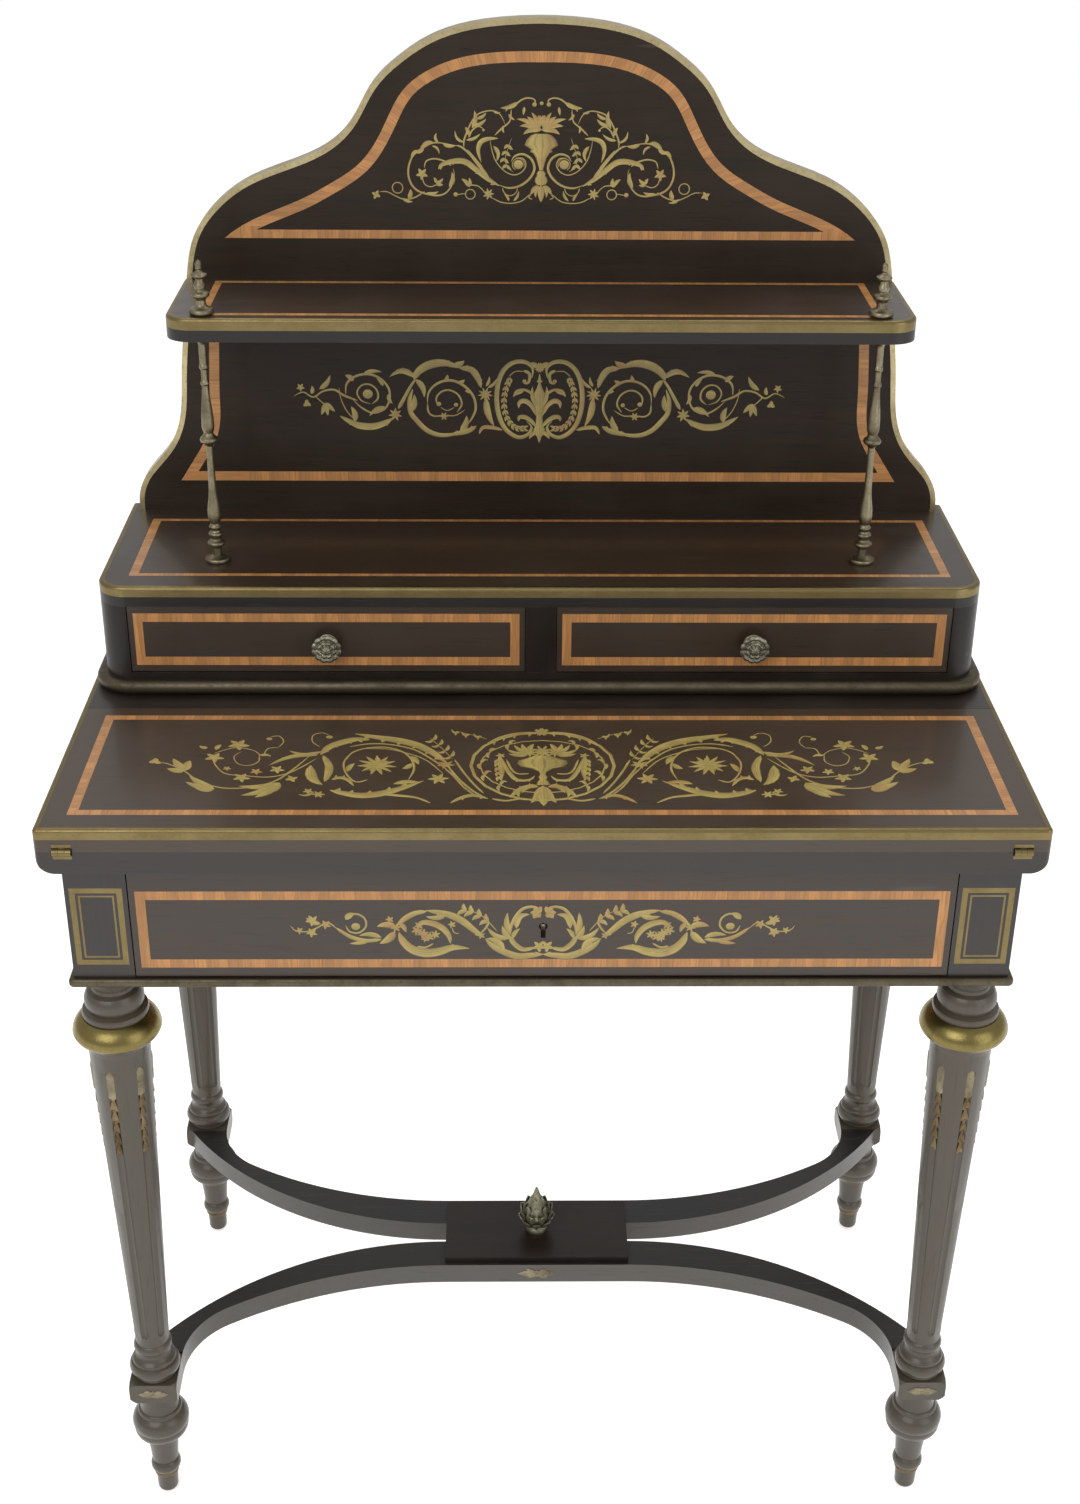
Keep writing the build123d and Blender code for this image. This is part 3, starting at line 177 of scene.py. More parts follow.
class Nodes:
    """Adds and links nodes in a tree."""

    def __init__(self, tree):
        self.tree = tree

    def put(self, socket, value):
        if isinstance(value, bpy.types.NodeSocket):
            self.tree.links.new(value, socket)
        elif value is not None:
            socket.default_value = value

    def add(self, kind, inputs=None, **settings):
        node = self.tree.nodes.new(kind)
        for key, value in settings.items():
            setattr(node, key, value)
        for key, value in (inputs or {}).items():
            self.put(node.inputs[key], value)
        return node

    def math(self, operation, a, b=0.0, clamp=False):
        node = self.add("ShaderNodeMath", {0: a, 1: b}, operation=operation, use_clamp=clamp)
        return node.outputs[0]

    def plus(self, a, b, clamp=False):
        return self.math("ADD", a, b, clamp)

    def minus(self, a, b):
        return self.math("SUBTRACT", a, b)

    def times(self, a, b, clamp=False):
        return self.math("MULTIPLY", a, b, clamp)

    def choose(self, switch, off, on):
        """One number where the switch is 0, the other where it is 1."""
        return self.plus(self.times(self.minus(1.0, switch), off), self.times(switch, on))

    def mix(self, factor, a, b):
        node = self.add("ShaderNodeMix", {0: factor, 6: a, 7: b}, data_type="RGBA")
        return node.outputs[2]

    def ramp(self, value, low, high, out_low=0.0, out_high=1.0):
        node = self.add("ShaderNodeMapRange", {
            "Value": value, "From Min": low, "From Max": high, "To Min": out_low,
            "To Max": out_high}, clamp=True)
        return node.outputs["Result"]

    def group(self, group, **inputs):
        node = self.add("ShaderNodeGroup", node_tree=group)
        for key, value in inputs.items():
            self.put(node.inputs[key.replace("_", " ")], value)
        return node.outputs

    def noise(self, vector, scale, detail=3.0, roughness=0.5):
        node = self.add("ShaderNodeTexNoise", {
            "Vector": vector, "Scale": scale, "Detail": detail, "Roughness": roughness})
        return node.outputs["Fac"]

    def stretched(self, vector, stretch, turn=None):
        node = self.add("ShaderNodeMapping", {
            "Vector": vector, "Scale": stretch, "Rotation": turn})
        return node.outputs[0]

    def split(self, vector):
        """The three parts of a vector."""
        return self.add("ShaderNodeSeparateXYZ", {"Vector": vector}).outputs

    def place(self):
        return self.add("ShaderNodeTexCoord").outputs["Object"]

    def normal(self):
        return self.add("ShaderNodeNewGeometry").outputs["Normal"]

    def bump(self, height, distance, strength=1.0):
        node = self.add("ShaderNodeBump", {
            "Height": height, "Distance": distance, "Strength": strength})
        return node.outputs[0]


def edge_wear_group():
    """Mask of sharp edges, broken up by noise: 1 where an edge is rubbed."""
    group, inputs, outputs = new_group(
        "Edge wear",
        [("Width", "NodeSocketFloat", 0.0012), ("Amount", "NodeSocketFloat", 0.5)],
        [("Mask", "NodeSocketFloat", None)],
    )
    nodes = Nodes(group)
    bevel = nodes.add("ShaderNodeBevel", {"Radius": inputs["Width"]}, samples=4)
    along = nodes.add("ShaderNodeVectorMath", {0: bevel.outputs[0], 1: nodes.normal()},
                      operation="DOT_PRODUCT")
    edge = nodes.ramp(along.outputs["Value"], 0.985, 0.80)
    place = nodes.place()
    patches = nodes.ramp(nodes.noise(place, 38.0, 4.0, 0.65), 0.42, 0.62)
    fine = nodes.ramp(nodes.noise(place, 420.0, 2.0), 0.3, 0.6)
    rubbed = nodes.times(edge, nodes.times(patches, fine))
    nodes.put(outputs["Mask"], nodes.times(rubbed, inputs["Amount"], clamp=True))
    return group


def wood_grain_group():
    """Straight grain with pores. Grain runs where Stretch is small."""
    group, inputs, outputs = new_group(
        "Wood grain",
        [("Stretch", "NodeSocketVector", (3.0, 60.0, 60.0))],
        [("Tone", "NodeSocketFloat", None), ("Pores", "NodeSocketFloat", None)],
    )
    nodes = Nodes(group)
    place = nodes.place()
    wander = nodes.add("ShaderNodeTexNoise", {"Vector": place, "Scale": 3.0, "Detail": 2.0})
    shifted = nodes.add("ShaderNodeVectorMath", {
        0: wander.outputs["Color"], 1: (0.02, 0.02, 0.02), 2: place}, operation="MULTIPLY_ADD")
    grain = nodes.stretched(shifted.outputs[0], inputs["Stretch"])
    nodes.put(outputs["Tone"], nodes.noise(grain, 1.6, 5.0, 0.6))
    pores = nodes.noise(grain, 9.0, 2.0, 0.5)
    nodes.put(outputs["Pores"], nodes.ramp(pores, 0.60, 0.72))
    return group


def dust_group():
    """Old dust and hand marks: clouds and fine scratches."""
    group, inputs, outputs = new_group(
        "Age",
        [("Amount", "NodeSocketFloat", 0.5)],
        [("Clouds", "NodeSocketFloat", None), ("Scratches", "NodeSocketFloat", None)],
    )
    nodes = Nodes(group)
    place = nodes.place()
    clouds = nodes.ramp(nodes.noise(place, 9.0, 5.0, 0.6), 0.40, 0.72)
    nodes.put(outputs["Clouds"], nodes.times(clouds, inputs["Amount"]))
    slanted = nodes.stretched(place, (6, 260, 60), (0.3, 0.5, 0.7))
    lines = nodes.ramp(nodes.noise(slanted, 1.0, 1.0), 0.72, 0.76)
    patch = nodes.ramp(nodes.noise(place, 14.0, 1.0), 0.52, 0.6)
    scratches = nodes.times(lines, patch)
    nodes.put(outputs["Scratches"], nodes.times(scratches, inputs["Amount"]))
    return group


# ---- materials
# Fixed colours of dirt and glue in the woods
DUST = (0.10, 0.085, 0.07, 1.0)
SCRATCH = (0.16, 0.13, 0.10, 1.0)
GLUE_LINE = (0.09, 0.035, 0.015, 1.0)
WARM_INLAY = (0.42, 0.20, 0.07, 1.0)
INLAY_RIM = (0.03, 0.022, 0.012, 1.0)

# Depth of the pores, dents and engraved lines, in metres
PORE_DEPTH = 0.00006
CUT_DEPTH = 0.00005
OPEN_PORE_DEPTH = 0.0001
DENT_DEPTH = 0.00008

# The banding's course, in metres, and how finely it is cut
CASE_TOP = 0.87
ARCH_CENTRE = 1.12
ARCH_FOOT = 1.127
ARCH_RADIUS = 0.17
PANEL_TURNS = (0.345, 0.272)
FRONT_TURNS = (0.371, 0.371)
FIBRES_ALONG = 640.0
FIBRES_ACROSS = 45.0
LENGTHS_PER_METRE = 105.0
GOLDEN_STEP = 0.618

# Stretch of the grain, small along its run
GRAIN_X = (3.0, 55.0, 55.0)
GRAIN_Y = (55.0, 3.0, 55.0)
GRAIN_Z = (55.0, 55.0, 3.0)


def new_material(name, **constants):
    """A material with one Principled shader whose constant values sit on its own sockets."""
    material = bpy.data.materials.new(name)
    material.use_nodes = True
    shader = material.node_tree.nodes["Principled BSDF"]
    for key, value in constants.items():
        shader.inputs[key.replace("_", " ")].default_value = value
    return material, Nodes(material.node_tree), shader.inputs


def colour(value, share=1.0):
    """A colour socket's value: a colour, paler or deeper by a share."""
    return tuple(min(1.0, part * share) for part in value) + (1.0,)


def polished_wood(name, base, stretch, groups, wear, tint, specular=0.45, coat=0.35, shaded=0):
    """Blackened, polished wood with rubbed brown edges.

    Shaded 1 darkens the upright faces with painted shade, -1 the level ones."""
    material, nodes, shader = new_material(
        name, Specular_IOR_Level=specular, Coat_Roughness=0.14, Coat_IOR=1.45)
    rubbed = colour(finishes().rubbed)
    gloss = finishes().wood_gloss
    grain = nodes.group(groups["grain"], Stretch=stretch)
    age = nodes.group(groups["age"], Amount=0.6)
    edge = nodes.group(groups["wear"], Width=0.0010, Amount=wear)["Mask"]
    weight = nodes.ramp(grain["Tone"], 0.3, 0.7, coat, coat * 0.63)
    brown = nodes.mix(nodes.ramp(grain["Tone"], 0.35, 0.75, 0.0, tint), colour(base), rubbed)
    # painted shade: the colour darkens with the way a face turns, on upright faces for 1 and level
    # ones for -1, and the coat thins there too
    if shaded:
        level = nodes.split(nodes.normal())["Z"]
        shade = nodes.ramp(level, 0.9, 0.3) if shaded > 0 else nodes.ramp(level, 0.3, 0.9)
        brown = nodes.mix(shade, brown, colour(base, 0.12))
        weight = nodes.times(weight, nodes.minus(1.0, nodes.times(shade, 0.85)))
    dark = nodes.mix(nodes.times(grain["Pores"], 0.5), brown, colour(base, 0.45))
    dusty = nodes.mix(nodes.times(age["Clouds"], 0.16), dark, DUST)
    scratched = nodes.mix(nodes.times(age["Scratches"], 0.35), dusty, SCRATCH)
    nodes.put(shader["Base Color"], nodes.mix(edge, scratched, rubbed))
    rough = nodes.ramp(age["Clouds"], 0.0, 0.6, gloss, gloss + 0.16)
    nodes.put(shader["Roughness"], nodes.plus(rough, nodes.times(edge, 0.25)))
    nodes.put(shader["Coat Weight"], weight)
    height = nodes.minus(nodes.times(grain["Tone"], 0.4), grain["Pores"])
    nodes.put(shader["Normal"], nodes.bump(height, PORE_DEPTH))
    return material


def metal(name, base, tarnish, roughness, groups, patina):
    """Cast or drawn metal, darkened and dulled in patches."""
    material, nodes, shader = new_material(name, Metallic=1.0)
    place = nodes.place()
    clouds = nodes.ramp(nodes.noise(place, 46.0, 5.0, 0.62), 0.36, 0.66)
    spots = nodes.ramp(nodes.noise(place, 360.0, 3.0, 0.6), 0.52, 0.70)
    age = nodes.group(groups["age"], Amount=0.8)
    dull = nodes.plus(nodes.times(clouds, patina), nodes.times(spots, 0.3), clamp=True)
    edge = nodes.group(groups["wear"], Width=0.0008, Amount=0.8)["Mask"]
    aged = nodes.mix(dull, colour(base), colour(tarnish))
    nodes.put(shader["Base Color"], nodes.mix(nodes.times(edge, 0.6), aged, colour(base, 1.25)))
    rough = nodes.ramp(dull, 0.0, 1.0, roughness, min(0.9, roughness + 0.28))
    nodes.put(shader["Roughness"], nodes.plus(rough, nodes.times(age["Scratches"], 0.2)))
    height = nodes.plus(nodes.noise(place, 900.0, 2.0), nodes.times(clouds, 2.0))
    nodes.put(shader["Normal"], nodes.bump(height, DENT_DEPTH, 0.6))
    return material


def banding_material(name, groups, turns, arch=False):
    """Orange-brown banding cut in short lengths across its run.

    Its run follows X, and past a distance from the middle it goes back and up; turns gives
    that distance below and above the drawer case's top. In the arch it goes round a centre."""
    material, nodes, shader = new_material(name, Specular_IOR_Level=0.4, Coat_Roughness=0.2)
    place = nodes.place()
    base = finishes().banding
    x, y, z = nodes.split(place)[:3]
    above = nodes.math("GREATER_THAN", z, CASE_TOP)
    reach = nodes.ramp(above, 0.0, 1.0, turns[0], turns[1])
    ends = nodes.math("GREATER_THAN", nodes.math("ABSOLUTE", x), reach)
    run = nodes.choose(ends, x, nodes.plus(y, z))
    if arch:
        turned = nodes.times(nodes.math("ARCTAN2", x, nodes.minus(z, ARCH_CENTRE)), ARCH_RADIUS)
        run = nodes.choose(nodes.math("GREATER_THAN", z, ARCH_FOOT), run, turned)
    line = nodes.add("ShaderNodeCombineXYZ", {
        "X": nodes.times(run, FIBRES_ALONG), "Y": nodes.times(x, FIBRES_ACROSS),
        "Z": nodes.times(z, FIBRES_ACROSS)}).outputs[0]
    fibres = nodes.noise(line, 1.0, 3.0, 0.6)
    wander = nodes.noise(nodes.stretched(place, (22.0, 22.0, 22.0)), 1.0, 1.0)
    step = nodes.plus(nodes.times(run, LENGTHS_PER_METRE), nodes.times(wander, 1.6))
    joint = nodes.ramp(nodes.math("FRACT", step), 0.0, 0.07, 1.0, 0.0)
    tone = nodes.math("FRACT", nodes.times(nodes.math("FLOOR", step), GOLDEN_STEP))
    deep = colour(base, 0.55)
    toned = nodes.mix(tone, colour(base, 1.18), colour(base, 0.80))
    striped = nodes.mix(nodes.ramp(fibres, 0.42, 0.70, 0.0, 0.7), toned, deep)
    jointed = nodes.mix(nodes.times(joint, 0.38), striped, GLUE_LINE)
    age = nodes.group(groups["age"], Amount=0.7)
    nodes.put(shader["Base Color"], nodes.mix(nodes.times(age["Clouds"], 0.3), jointed, deep))
    nodes.put(shader["Roughness"], nodes.ramp(fibres, 0.3, 0.7, 0.30, 0.42))
    nodes.put(shader["Coat Weight"], nodes.ramp(fibres, 0.3, 0.7, 0.25, 0.15))
    nodes.put(shader["Normal"], nodes.bump(fibres, PORE_DEPTH))
    return material


def box_wood_material(groups):
    """Plain waxed wood of the drawers."""
    base = finishes().box_wood
    material, nodes, shader = new_material("drawer wood", Specular_IOR_Level=0.3)
    grain = nodes.group(groups["grain"], Stretch=(14.0, 1.2, 22.0))
    toned = nodes.mix(nodes.ramp(grain["Tone"], 0.3, 0.7), colour(base), colour(base, 0.55))
    dark = nodes.mix(nodes.times(grain["Pores"], 0.6), toned, colour(base, 0.3))
    nodes.put(shader["Base Color"], dark)
    nodes.put(shader["Roughness"], nodes.ramp(grain["Tone"], 0.3, 0.7, 0.48, 0.62))
    nodes.put(shader["Normal"], nodes.bump(grain["Pores"], OPEN_PORE_DEPTH, -0.5))
    return material


def leather_material():
    """Dark writing leather with a fine grain, worn patches and painted shade in the creases of the
    grain.
    """
    base = finishes().leather
    material, nodes, shader = new_material("writing leather", Specular_IOR_Level=0.35)
    place = nodes.place()
    pebble = nodes.add("ShaderNodeTexVoronoi", {"Vector": place, "Scale": 900.0},
                       feature="DISTANCE_TO_EDGE")
    crease = nodes.ramp(pebble.outputs["Distance"], 0.0, 0.18)
    patches = nodes.noise(place, 7.0, 5.0, 0.6)
    toned = nodes.mix(nodes.ramp(patches, 0.4, 0.7, 0.0, 0.6), colour(base), colour(base, 2.2))
    # painted shade: the creases of the grain are darkened
    hollows = nodes.ramp(crease, 0.0, 1.0, 0.5, 0.0)
    nodes.put(shader["Base Color"], nodes.mix(hollows, toned, colour(base, 0.4)))
    nodes.put(shader["Roughness"], nodes.ramp(patches, 0.3, 0.7, 0.42, 0.62))
    nodes.put(shader["Normal"], nodes.bump(crease, OPEN_PORE_DEPTH, 0.8))
    return material


def inlay_material():
    """Engraved light wood of the ornament, shaded across each stroke by its own map."""
    base = finishes().inlay_wood
    material, nodes, shader = new_material(
        "inlay wood", Specular_IOR_Level=0.4, Coat_Roughness=0.2)
    drawn = nodes.add("ShaderNodeUVMap", uv_map="UVMap").outputs[0]
    across, along = nodes.split(drawn)[:2]
    place = nodes.place()
    side = nodes.math("ABSOLUTE", nodes.minus(across, 0.5))
    rim = nodes.ramp(side, 0.36, 0.5)
    shaded = nodes.ramp(across, 0.15, 0.95)
    lines = nodes.math("SINE", nodes.times(across, 26.0))
    cut = nodes.times(nodes.ramp(lines, 0.55, 0.95), nodes.ramp(side, 0.1, 0.4, 1.0, 0.3))
    tints = nodes.ramp(nodes.noise(place, 30.0, 2.0), 0.54, 0.66)
    paler = nodes.ramp(nodes.noise(place, 75.0, 3.0), 0.4, 0.7, 0.0, 0.5)
    warm = nodes.mix(nodes.times(tints, 0.55), colour(base), WARM_INLAY)
    pale = nodes.mix(paler, warm, colour(base, 1.5))
    deep = nodes.mix(nodes.times(shaded, 0.45), pale, colour(base, 0.32))
    engraved = nodes.mix(nodes.times(cut, 0.45), deep, colour(base, 0.22))
    nodes.put(shader["Base Color"], nodes.mix(nodes.times(rim, 0.6), engraved, INLAY_RIM))
    gloss = nodes.noise(place, 90.0, 2.0)
    nodes.put(shader["Roughness"], nodes.ramp(gloss, 0.3, 0.7, 0.34, 0.48))
    nodes.put(shader["Coat Weight"], nodes.ramp(along, 0.0, 1.0, 0.25, 0.2))
    nodes.put(shader["Normal"], nodes.bump(cut, CUT_DEPTH, -0.8))
    return material


# finish: material, colour setting and its share, grain, edge wear, tint, and what else differs
WOODS = {
    "ebonised_wood": ("ebonised wood", "ebony", 1.0, GRAIN_X, 0.85, 0.10, {}),
    "ebony upright": ("ebonised wood upright", "ebony", 1.0, GRAIN_Z, 0.85, 0.10, {}),
    "ebony deep": ("ebonised wood front to back", "ebony", 1.0, GRAIN_Y, 0.85, 0.10, {}),
    "dark_veneer": ("dark veneer", "veneer", 1.0, GRAIN_X, 0.5, 0.12, {}),
    "panel": ("ebonised panel", "veneer", 0.6, GRAIN_X, 0.5, 0.10,
              {"specular": 0.18, "coat": 0.06}),
    # painted light: the leaf gets a paler copy of the veneer for the light on its top
    "leaf veneer": ("leaf veneer", "veneer", 1.55, GRAIN_X, 0.5, 0.12, {}),
    "platform": ("ebonised platform", "ebony", 1.0, GRAIN_X, 0.85, 0.10,
                 {"specular": 0.25, "coat": 0.15}),
    "turned": ("ebonised turning", "turned", 1.0, GRAIN_Z, 0.9, 0.16, {}),
    # painted shade darkens the level faces of the stretcher's arms
    "arms": ("ebonised stretcher", "arms", 1.0, GRAIN_X, 0.9, 0.16, {"shaded": -1}),
    # painted shade darkens the upright faces of the case top and the shelf
    "boards": ("dark veneer boards", "veneer", 1.0, GRAIN_X, 0.5, 0.12, {"shaded": 1}),
    # painted shade: the case's sides, divider and bottom get a darker copy of the ebony
    "stile": ("ebonised stile", "ebony", 0.6, GRAIN_Z, 0.8, 0.06,
              {"specular": 0.25, "coat": 0.10}),
}

# finish: material, colour setting, colour of its tarnish, roughness, share of dull patches
METALS = {
    "foot brass": ("brown foot gilding", "foot", (0.09, 0.06, 0.035), 0.40, 0.6),
    # painted highlight: the back panel's rim gets a paler copy of the brass for the light it
    # catches
    "rim": ("bright rim brass", "rim", (0.16, 0.12, 0.05), 0.28, 0.35),
    "moulding": ("olive moulding", "moulding", (0.055, 0.044, 0.028), 0.42, 0.5),
    "cone": ("pale cone bronze", "cone", (0.10, 0.095, 0.06), 0.44, 0.7),
    "rods": ("grey rod gilding", "rod", (0.10, 0.085, 0.06), 0.42, 0.7),
    "brass": ("aged brass", "brass", (0.16, 0.12, 0.05), 0.30, 0.5),
    "gilt_brass": ("gilt brass", "gilt", (0.12, 0.10, 0.035), 0.24, 0.35),
    "bronze": ("dull bronze", "bronze", (0.09, 0.075, 0.045), 0.36, 0.6),
    "steel": ("old steel", "steel", (0.12, 0.07, 0.05), 0.40, 0.5),
    "husks": ("worn husk gilding", "husk", (0.07, 0.045, 0.02), 0.42, 0.7),
    "knobs": ("dark knob bronze", "knob", (0.05, 0.04, 0.025), 0.40, 0.6),
}

# solids with a finish of their own; the others take the one of their slot
SPECIAL_FINISHES = {
    "turned": ("leg_front_left", "leg_front_right", "leg_back_left", "leg_back_right"),
    "arms": ("stretcher_front_arms", "stretcher_back_arms"),
    "platform": ("stretcher_platform",),
    "ebony upright": ("corner_blocks",),
    "ebony deep": ("side_rails",),
    "panel": ("back_panel",),
    "rim": ("back_panel_edge",),
    "moulding": ("apron_moulding", "case_moulding"),
    "stile": ("case_side_left", "case_side_right", "case_divider", "case_bottom"),
    "boards": ("case_top", "shelf"),
    "foot brass": ("foot_rings",),
    "leaf veneer": ("leaf",),
    "banding across": (
        "leaf_band", "writing_drawer_band", "left_drawer_band", "right_drawer_band"),
}


class DESK_OT_finish_frame(bpy.types.Operator):
    """Give every solid of the desk its wood, metal or leather"""

    bl_idname = "desk.finish_frame"
    bl_label = "Finish the solids"

    def execute(self, context):
        look = finishes()
        groups = {"wear": edge_wear_group(), "grain": wood_grain_group(), "age": dust_group()}
        table = {
            "banding": banding_material("banding wood", groups, PANEL_TURNS, arch=True),
            "banding across": banding_material(
                "banding wood on the fronts", groups, FRONT_TURNS),
            "leather": leather_material(),
            "inner_wood": box_wood_material(groups),
            "inlay": inlay_material(),
        }
        for finish, (name, setting, share, grain, wear, tint, rest) in WOODS.items():
            base = [part * share for part in getattr(look, setting)]
            table[finish] = polished_wood(name, base, grain, groups, wear, tint, **rest)
        for finish, (name, setting, tarnish, roughness, patina) in METALS.items():
            table[finish] = metal(
                name, getattr(look, setting), tarnish, roughness, groups, patina)
        chosen = {row["node"]: row["material_slot"] for row in frame["record"]["subparts"]}
        for finish, names in SPECIAL_FINISHES.items():
            chosen.update(dict.fromkeys(names, finish))
        for name, node in NODES.items():
            node.data.materials.clear()
            node.data.materials.append(table[chosen[name]])
        return {"FINISHED"}


# ---- inlaid ornament
CROWN = 0.00010  # height of a stroke's middle above its sides, metres
LAYER_STEP = 0.000004  # strokes lie in a few layers, so that crossing ones share no plane
LAYERS = 11


class Drawing:
    """Flat inlaid strokes on a squared grid, mirrored about the ornament's own upright axis.

    The axis is a column of the grid and the origin its upper end. The grid's rows run along X
    and its columns down; a unit is one square's width and height in millimetres, and each row
    is narrower than the one above it by the narrowing."""

    def __init__(self, axis, origin, down, unit, narrowing=0.0):
        self.axis = axis
        self.origin = Vector(origin)
        self.across = Vector((1.0, 0.0, 0.0))
        self.down = Vector(down)
        self.rise = self.down.cross(self.across).normalized()
        self.unit = unit
        self.narrowing = narrowing
        self.strokes = 0
        self.mesh = bmesh.new()
        self.map = self.mesh.loops.layers.uv.new("UVMap")

    def at(self, u, v, side, lift):
        """A grid point on the right (+1) or left (-1) of the axis, lifted off the field."""
        reach = (self.axis - u) * (self.unit[0] - self.narrowing * v) * side * MM
        drop = v * self.unit[1] * MM
        return self.origin + self.across * reach + self.down * drop + self.rise * lift

    def strip(self, path, widths):
        """A ribbon along grid points with a half width at each, on both sides of the axis."""
        count = len(path)
        middle = sum(u for u, _ in path) / count
        balanced = abs(middle - self.axis) < 1e-6
        for side in ((1,) if balanced else (-1, 1)):
            rise = sizes().inlay_rise + LAYER_STEP * (self.strokes % LAYERS)
            self.strokes += 1
            rows = []
            for index, (u, v) in enumerate(path):
                before = path[max(index - 1, 0)]
                after = path[min(index + 1, count - 1)]
                run = heading((after[0] - before[0]) * self.unit[0],
                              (after[1] - before[1]) * self.unit[1])
                off_u = -run.y / self.unit[0] * widths[index]
                off_v = run.x / self.unit[1] * widths[index]
                rows.append([
                    self.mesh.verts.new(self.at(u + off_u * share, v + off_v * share, side, lift))
                    for share, lift in ((-1, rise), (0, rise + CROWN), (1, rise))])
            for index in range(count - 1):
                for lane in (0, 1):
                    corners = [rows[index][lane], rows[index][lane + 1],
                               rows[index + 1][lane + 1], rows[index + 1][lane]]
                    spots = [(lane / 2, index), (lane / 2 + 0.5, index),
                             (lane / 2 + 0.5, index + 1), (lane / 2, index + 1)]
                    if side > 0:
                        corners.reverse()
                        spots.reverse()
                    face = self.mesh.faces.new(corners)
                    for loop, (across, along) in zip(face.loops, spots):
                        loop[self.map].uv = (across, along / (count - 1))

    def stem(self, start, end, *points, middle=None):
        """A smooth stem with half widths in millimetres at its start, end and middle."""
        path = smooth(points)
        last = len(path) - 1
        widths = []
        for index in range(last + 1):
            share = index / last
            if middle is None:
                width = start + (end - start) * share
            elif share < 0.5:
                width = start + (middle - start) * math.sin(share * math.pi)
            else:
                width = end + (middle - end) * math.sin(share * math.pi)
            taper = min(1.0, 0.25 + 6.0 * min(index, last - index) / last)
            widths.append(width * taper)
        self.strip(path, widths)

    def blade(self, width, base, tip, bow=0.12):
        """A pointed leaf from its base to its tip, bowed to one side."""
        steps = 6
        path = []
        widths = []
        for step in range(steps + 1):
            share = step / steps
            swing = math.sin(share * math.pi) * bow
            u = base[0] + (tip[0] - base[0]) * share - (tip[1] - base[1]) * swing
            v = base[1] + (tip[1] - base[1]) * share + (tip[0] - base[0]) * swing
            path.append((u, v))
            swell = 0.12 + 0.88 * math.sin(math.pi * share ** 0.75) ** 0.9
            widths.append(width * swell * (1 - 0.1 * share))
        widths[-1] = 0.05
        self.strip(path, widths)

    def blades(self, *rows):
        """Several leaves, each given as for one blade."""
        for row in rows:
            self.blade(*row)

    def spray(self, width, base, *tips, bow=0.12):
        """Several leaves from one base."""
        for tip in tips:
            self.blade(width, base, tip, bow)

    def acanthus(self, width, lobes, *points, side=1, reach=2.0):
        """A thick leaf along a path, with lobes that spring forward from its outer edge."""
        path = smooth(points)
        last = len(path) - 1
        self.stem(width * 0.5, width * 0.3, *points, middle=width)
        for lobe in range(lobes):
            index = 1 + int((last - 2) * (lobe + 0.3) / lobes)
            u, v = path[index]
            ahead = path[min(index + 1, last)]
            run = heading(ahead[0] - u, ahead[1] - v)
            out = Vector((-run.y, run.x)) * side
            tip = Vector((u, v)) + (run * 1.1 + out) * width * reach / self.unit[0]
            self.blade(width * 0.62, (u, v), tuple(tip), bow=-0.15 * side)

    def ball(self, radius, centre):
        """A round spot with a radius in millimetres."""
        steps = 8
        path = []
        widths = []
        for step in range(steps + 1):
            angle = math.pi * step / steps
            path.append((centre[0] - math.cos(angle) * radius / self.unit[0], centre[1]))
            widths.append(max(0.04, radius * math.sin(angle)))
        self.strip(path, widths)

    def flower(self, radius, petals, centre, turn=0.0):
        """Petals round a small eye."""
        for petal in range(petals):
            angle = turn + 2 * math.pi * petal / petals
            tip = (centre[0] + math.cos(angle) * radius / self.unit[0],
                   centre[1] + math.sin(angle) * radius / self.unit[1])
            self.blade(radius * 1.5 / max(petals, 3), centre, tip, bow=0.0)
        self.ball(radius * 0.3, centre)

    def ring(self, radius, width, centre, start=0.0, turn=360.0, squash=1.0):
        """An arc of a ring round a centre, from an angle through a turn, in degrees."""
        steps = max(6, int(abs(turn) / 18))
        points = []
        for step in range(steps + 1):
            angle = math.radians(start + turn * step / steps)
            points.append((centre[0] + math.cos(angle) * radius / self.unit[0],
                           centre[1] + math.sin(angle) * radius * squash / self.unit[1]))
        self.strip(points, [width] * (steps + 1))

    def husks(self, width, length, *points):
        """Small bellflowers strung along a path."""
        path = smooth(points)
        for index in range(0, len(path) - 1, 2):
            u, v = path[index]
            ahead = path[index + 1]
            run = Vector((ahead[0] - u, ahead[1] - v)).normalized() * length / self.unit[0]
            for lean in (-0.5, 0.5):
                tip = (u + run.x - run.y * lean, v + run.y + run.x * lean)
                self.blade(width, (u, v), tip, bow=0.2 * lean)

    def silhouette(self, *rows):
        """A symmetrical shape on the axis, from (height on the grid, half width in millimetres)."""
        path = [(self.axis, v) for v, _ in rows]
        self.strip(path, [half for _, half in rows])

    def piece(self, name, body):
        """The strokes as one thin solid piece that rides on a body."""
        data = bpy.data.meshes.new(name)
        bmesh.ops.remove_doubles(self.mesh, verts=self.mesh.verts, dist=1e-7)
        self.mesh.to_mesh(data)
        self.mesh.free()
        piece = new_object(name, data)
        dress(piece, "inlay wood")
        thicken(piece, sizes().inlay_depth)
        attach(piece, body)
        return piece


def heading(across, along):
    """A direction of length 1 in the plane of a drawing."""
    run = Vector((across, along))
    return run.normalized() if run.length else Vector((1.0, 0.0))


